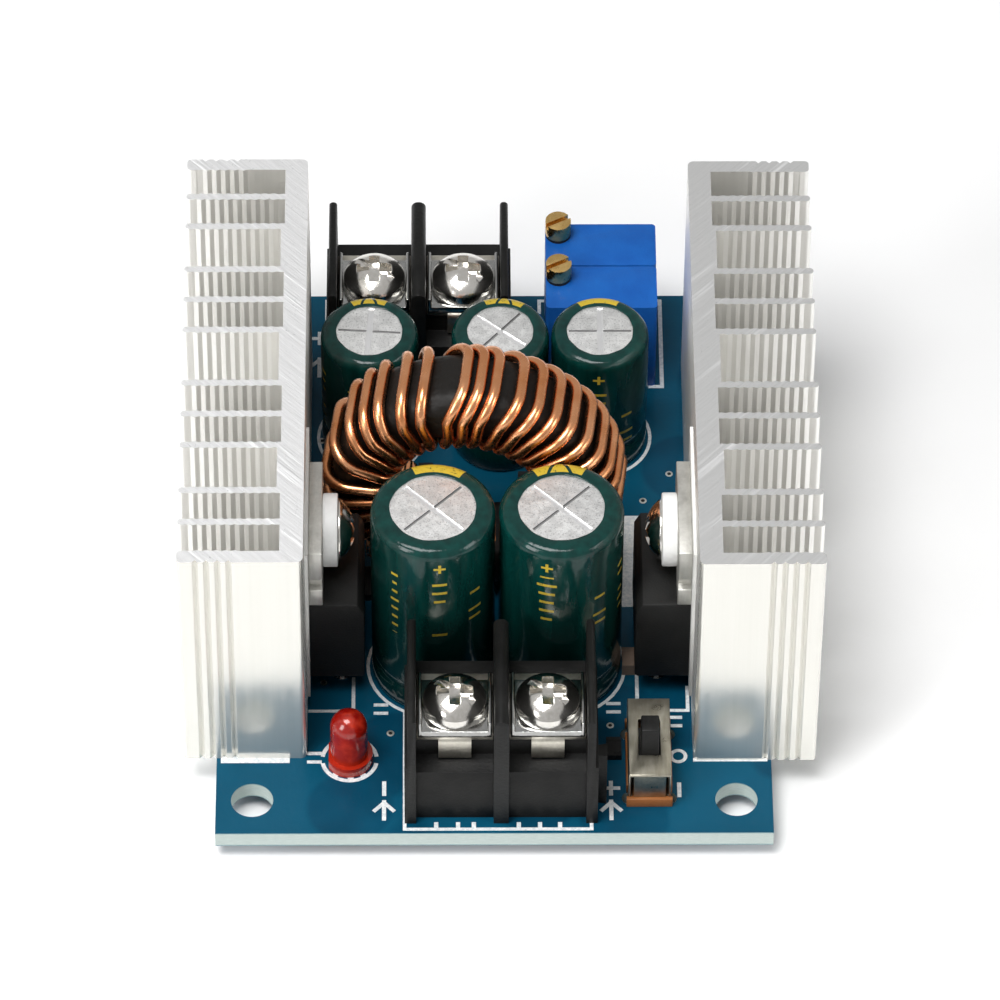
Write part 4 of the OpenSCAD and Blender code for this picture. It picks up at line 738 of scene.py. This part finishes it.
# lines at the heatsinks, power devices and terminal blocks, each a width and its corners
LINES_IN_FRONT = (
    (0.7, (-22.3, -22.2), (-17.3, -22.2)),
    (HEAVY, (16.7, -22.3), (22.5, -22.3)),
    (LINE, (-15.3, -17.0), (-11.7, -17.0), (-11.7, -13.5)),
    (LINE, (14.8, -17.0), (16.2, -17.0), (16.2, -14.5)),
    (LINE, (12.0, -16.2), (12.0, -13.0)),
    (LINE, (-7.4, -17.1), (-7.4, -29.6), (8.0, -29.6), (8.0, -29.0)),
    *((HEAVY, (x, -29.5), (x, -29.05)) for x in (-4.8, -3.0, -1.7, 2.0, 3.75, 5.4)),
    (LINE, (-14.3, 17.6), (-14.3, 29.4), (1.8, 29.4), (1.8, 27.5)),
)
# the wide pale bar beside the ring, and the trimmers' outline
LINES_BEHIND = (
    (2.35, (11.9, -4.5), (11.9, 3.3)),
    (HEAVY, (13.8, 19.3), (14.8, 19.3), (14.8, 29.3)),
    (LINE, (4.25, 28.0), (4.25, 29.4), (14.8, 29.4)),
)
# polarity marks: x, the sign's middle, whether it is a plus, the arrow's tip and its length
POLARITY = ((-9.1, -25.3, False, -26.7, 1.8), (9.65, -25.3, True, -26.7, 1.8),
            (-14.9, 25.0, True, 22.6, 2.0), (3.0, 25.0, False, 22.6, 2.0))
SWITCH_MARKS_X = 15.3
PART_NAMES_AT = ((-9.4, -16.8), (15.1, -18.2), (10.0, -16.7), (-14.9, -22.0))


def ink_line(bm, width, *points):
    """Straight strokes, each a little thicker than the last, so that none lie level."""
    for start, end in zip(points, points[1:]):
        start, end = Vector((*start, 0)), Vector((*end, 0))
        run = end - start
        rise = INK + len(bm.verts) % INK_LEVELS * INK_STEP
        spot = (start + end) / 2 + Vector((0, 0, BOARD_TOP + rise / 2))
        bmesh.ops.create_cube(bm, size=1, matrix=Matrix.Translation(spot)
                              @ Matrix.Rotation(math.atan2(run.y, run.x), 4, "Z")
                              @ Matrix.Diagonal((run.length + width, width, rise, 1)))


def ink_ring(bm, x, y, radius, width, start=0, end=360):
    """A ring or an arc of ink, its angles in degrees."""
    full = end - start >= 360
    turn = Matrix.Rotation(math.radians(start), 4, "Z")
    verts = [bm.verts.new(turn @ Vector((radius + r * width / 2, 0, BOARD_TOP + z * INK))
                          + Vector((x, y, 0))) for r, z in ((-1, 0), (1, 0), (1, 1), (-1, 1))]
    edges = [bm.edges.new((a, b)) for a, b in zip(verts, verts[1:] + verts[:1])]
    made = bmesh.ops.spin(bm, geom=verts + edges, cent=(x, y, 0), axis=(0, 0, 1),
                          dvec=(0, 0, 0), angle=math.radians(end - start), steps=40,
                          use_merge=full)
    if not full:
        last = [e for e in made["geom_last"] if isinstance(e, bmesh.types.BMEdge)]
        bmesh.ops.contextual_create(bm, geom=edges)
        bmesh.ops.contextual_create(bm, geom=last)


def ink_light_ring(bm):
    """Two arcs round the light, with three short ticks inside the front one."""
    light = middle("power_light_lens")
    ink_ring(bm, light.x - 0.1, light.y, 2.25, MARK, 190, 350)
    ink_ring(bm, light.x - 0.1, light.y, 2.25, MARK, 8, 172)
    for degrees in (-128, -90, -58):
        out = Vector((math.cos(math.radians(degrees)), math.sin(math.radians(degrees))))
        ink_line(bm, 0.5, light.xy + out * 1.8, light.xy + out * 2.1)


def ink_polarity(bm, x, sign, plus, tip, length):
    """A plus, or one stroke for a minus, beside an arrow along the board."""
    ink_line(bm, MARK, (x, sign + 0.6), (x, sign - 0.6))
    if plus:
        ink_line(bm, MARK, (x - 0.6, sign), (x + 0.6, sign))
    ink_line(bm, MARK, (x, tip), (x, tip - length))
    ink_line(bm, MARK, (x - 0.75, tip - 0.9), (x, tip - 0.1), (x + 0.75, tip - 0.9))


def make_print():
    bm = bmesh.new()
    for width, *points in LINES_IN_FRONT:
        ink_line(bm, width, *points)
    for name in CAPACITORS:
        spot, (low, high) = middle(name + "_sleeve"), box_of(name + "_sleeve")
        if name != "output_capacitor_middle":
            ink_ring(bm, spot.x, spot.y, (high.x - low.x) / 2 + 0.35, 0.28)
    ink_light_ring(bm)
    for width, *points in LINES_BEHIND:
        ink_line(bm, width, *points)
    for facts in POLARITY:
        ink_polarity(bm, *facts)
    # on and off marks of the switch
    ink_line(bm, MARK, (SWITCH_MARKS_X, -24.9), (SWITCH_MARKS_X, -26.1))
    ink_ring(bm, SWITCH_MARKS_X, -21.9, 0.6, LINE)
    # plain marks in place of the part names
    for x, y in PART_NAMES_AT:
        for side in (0.45, -0.45):
            ink_line(bm, 0.32, (x - 0.45, y + side), (x + 0.45, y + side))
    bmesh.ops.recalc_face_normals(bm, faces=bm.faces)
    add_piece("white_print", bm, silk_finish(), smooth=0)


# ------------------------------------------------------------------ pads and vias

CONE_SKIRT = 0.55  # how far a solder cone's foot reaches beyond its lead
BARE_IN_FRONT_OF = -19
VIAS = ((12.65, 12.8), (11.6, -1.8), (15.2, 9.25), (-14.6, 13.1), (-8.6, -19.4), (9.7, -18.6),
        (12.9, 6.2), (-11.9, -18.9), (14.3, 2.4), (-14.2, -13.9))
VIA_BORE, VIA_RING = 0.17, 0.32


def lead_spots():
    """Middle and radius of every soldered lead, from the solder cones."""
    bm = bmesh.new()
    bm.from_mesh(frame["nodes"]["solder_joints"].data)
    bmesh.ops.remove_doubles(bm, verts=bm.verts, dist=1e-6)
    left, spots = set(bm.verts), []
    while left:
        island, edge = set(), {left.pop()}
        while edge:
            island |= edge
            edge = {e.other_vert(v) for v in edge for e in v.link_edges} - island
        left -= island
        xs, ys = [v.co.x / MM for v in island], [v.co.y / MM for v in island]
        spots.append(((max(xs) + min(xs)) / 2, (max(ys) + min(ys)) / 2,
                      (max(xs) - min(xs)) / 2 - CONE_SKIRT))
    bm.free()
    return sorted(spots)


def make_pads():
    """Tinned fillets round the leads on the top face, and rings on the solder side."""
    bm = bmesh.new()
    for x, y, lead in lead_spots():
        spot = Vector((x, y, 0))
        if y > BARE_IN_FRONT_OF:
            revolve(bm, [(lead + 0.02, BOARD_TOP - 0.2), (lead + 0.4, BOARD_TOP - 0.2),
                         (lead + 0.4, BOARD_TOP + 0.025), (lead + 0.2, BOARD_TOP + 0.04),
                         (lead + 0.02, BOARD_TOP + 0.15)], spot, 24)
        outer = lead + CONE_SKIRT + 0.2
        revolve(bm, [(lead + 0.05, 0.1), (lead + 0.05, -0.03), (outer, -0.03), (outer, 0.1)],
                spot, 24)
    add_piece("lead_pads", bm, FINISHES["solder"])


def make_vias():
    """Small plated holes between the two faces, each a ring with a black disc of painted shade in
    its middle.
    """
    rings, holes = bmesh.new(), bmesh.new()
    for x, y in VIAS:
        revolve(rings, [(VIA_BORE, BOARD_TOP - 0.1), (VIA_RING, BOARD_TOP - 0.1),
                        (VIA_RING, BOARD_TOP + 0.02), (VIA_BORE, BOARD_TOP + 0.03)],
                Vector((x, y, 0)), 20)
        # painted shade: a black disc stands in for the dark inside of each hole
        bmesh.ops.create_circle(holes, cap_ends=True, radius=VIA_BORE + 0.005, segments=16,
                                matrix=Matrix.Translation((x, y, BOARD_TOP + 0.012)))
    add_piece("via_rings", rings, FINISHES["device_metal"])
    add_piece("via_hole_shade", holes, FINISHES["black_rubber"], smooth=0)


# ------------------------------------------------------------------ stage

FLOOR_HALF, FLOOR_TONE = 2.5, 0.96
ROOM_LIGHT, ROOM_IN_GLOSS, ROOM_IN_VIEW = 0.13, 0.5, 1.0
# place and size in metres, and power
LAMPS = {
    "overhead_softbox": ((-0.14, -0.12, 0.6), (0.34, 0.3), 3.5),
    "left_softbox": ((-0.5, -0.42, 0.35), (0.25, 0.35), 2.5),
    "right_softbox": ((0.6, -0.3, 0.3), (0.25, 0.35), 1.4),
}


def make_floor():
    bm = bmesh.new()
    bmesh.ops.create_grid(bm, x_segments=8, y_segments=8, size=FLOOR_HALF)
    bmesh.ops.translate(bm, vec=(0, 0, cad_box[0].z), verts=bm.verts)
    mesh = bpy.data.meshes.new("floor")
    bm.to_mesh(mesh)
    bm.free()
    material = bpy.data.materials.new("pale_floor")
    material.use_nodes = True
    shader = material.node_tree.nodes["Principled BSDF"]
    shader.inputs["Base Color"].default_value = (FLOOR_TONE, FLOOR_TONE, FLOOR_TONE, 1)
    shader.inputs["Roughness"].default_value = 0.9
    mesh.materials.append(material)
    floor = bpy.data.objects.new("floor", mesh)
    bpy.context.scene.collection.objects.link(floor)


def make_world():
    """A white room, dim as a light, brighter in reflections and white behind the module."""
    world = bpy.data.worlds.new("studio")
    world.use_nodes = True
    nodes, links = world.node_tree.nodes, world.node_tree.links
    background = nodes["Background"]
    background.inputs["Color"].default_value = (1, 1, 1, 1)
    rays = nodes.new("ShaderNodeLightPath")
    gloss, view = nodes.new("ShaderNodeMix"), nodes.new("ShaderNodeMix")
    links.new(rays.outputs["Is Glossy Ray"], gloss.inputs["Factor"])
    gloss.inputs["A"].default_value = ROOM_LIGHT
    gloss.inputs["B"].default_value = ROOM_IN_GLOSS
    links.new(rays.outputs["Is Camera Ray"], view.inputs["Factor"])
    links.new(gloss.outputs["Result"], view.inputs["A"])
    view.inputs["B"].default_value = ROOM_IN_VIEW
    links.new(view.outputs["Result"], background.inputs["Strength"])
    bpy.context.scene.world = world


def make_lamp(name, place, size, power):
    data = bpy.data.lights.new(name, "AREA")
    data.shape = "RECTANGLE"
    data.size, data.size_y = size
    data.energy = power
    lamp = bpy.data.objects.new(name, data)
    lamp.location = place
    lamp.rotation_mode = "QUATERNION"
    lamp.rotation_quaternion = (Vector(place) - AIM).to_track_quat("Z", "Y")
    bpy.context.scene.collection.objects.link(lamp)


make_camera()
make_floor()
make_world()
for name, facts in LAMPS.items():
    make_lamp(name, *facts)
dress_nodes()
make_winding()
make_core()
for name, facts in CAPACITORS.items():
    make_capacitor(name, *facts)
make_print()
make_pads()
make_vias()
for node, width in SOFTENED.items():
    soften(node, width)

bpy.context.scene.view_settings.view_transform = "Standard"
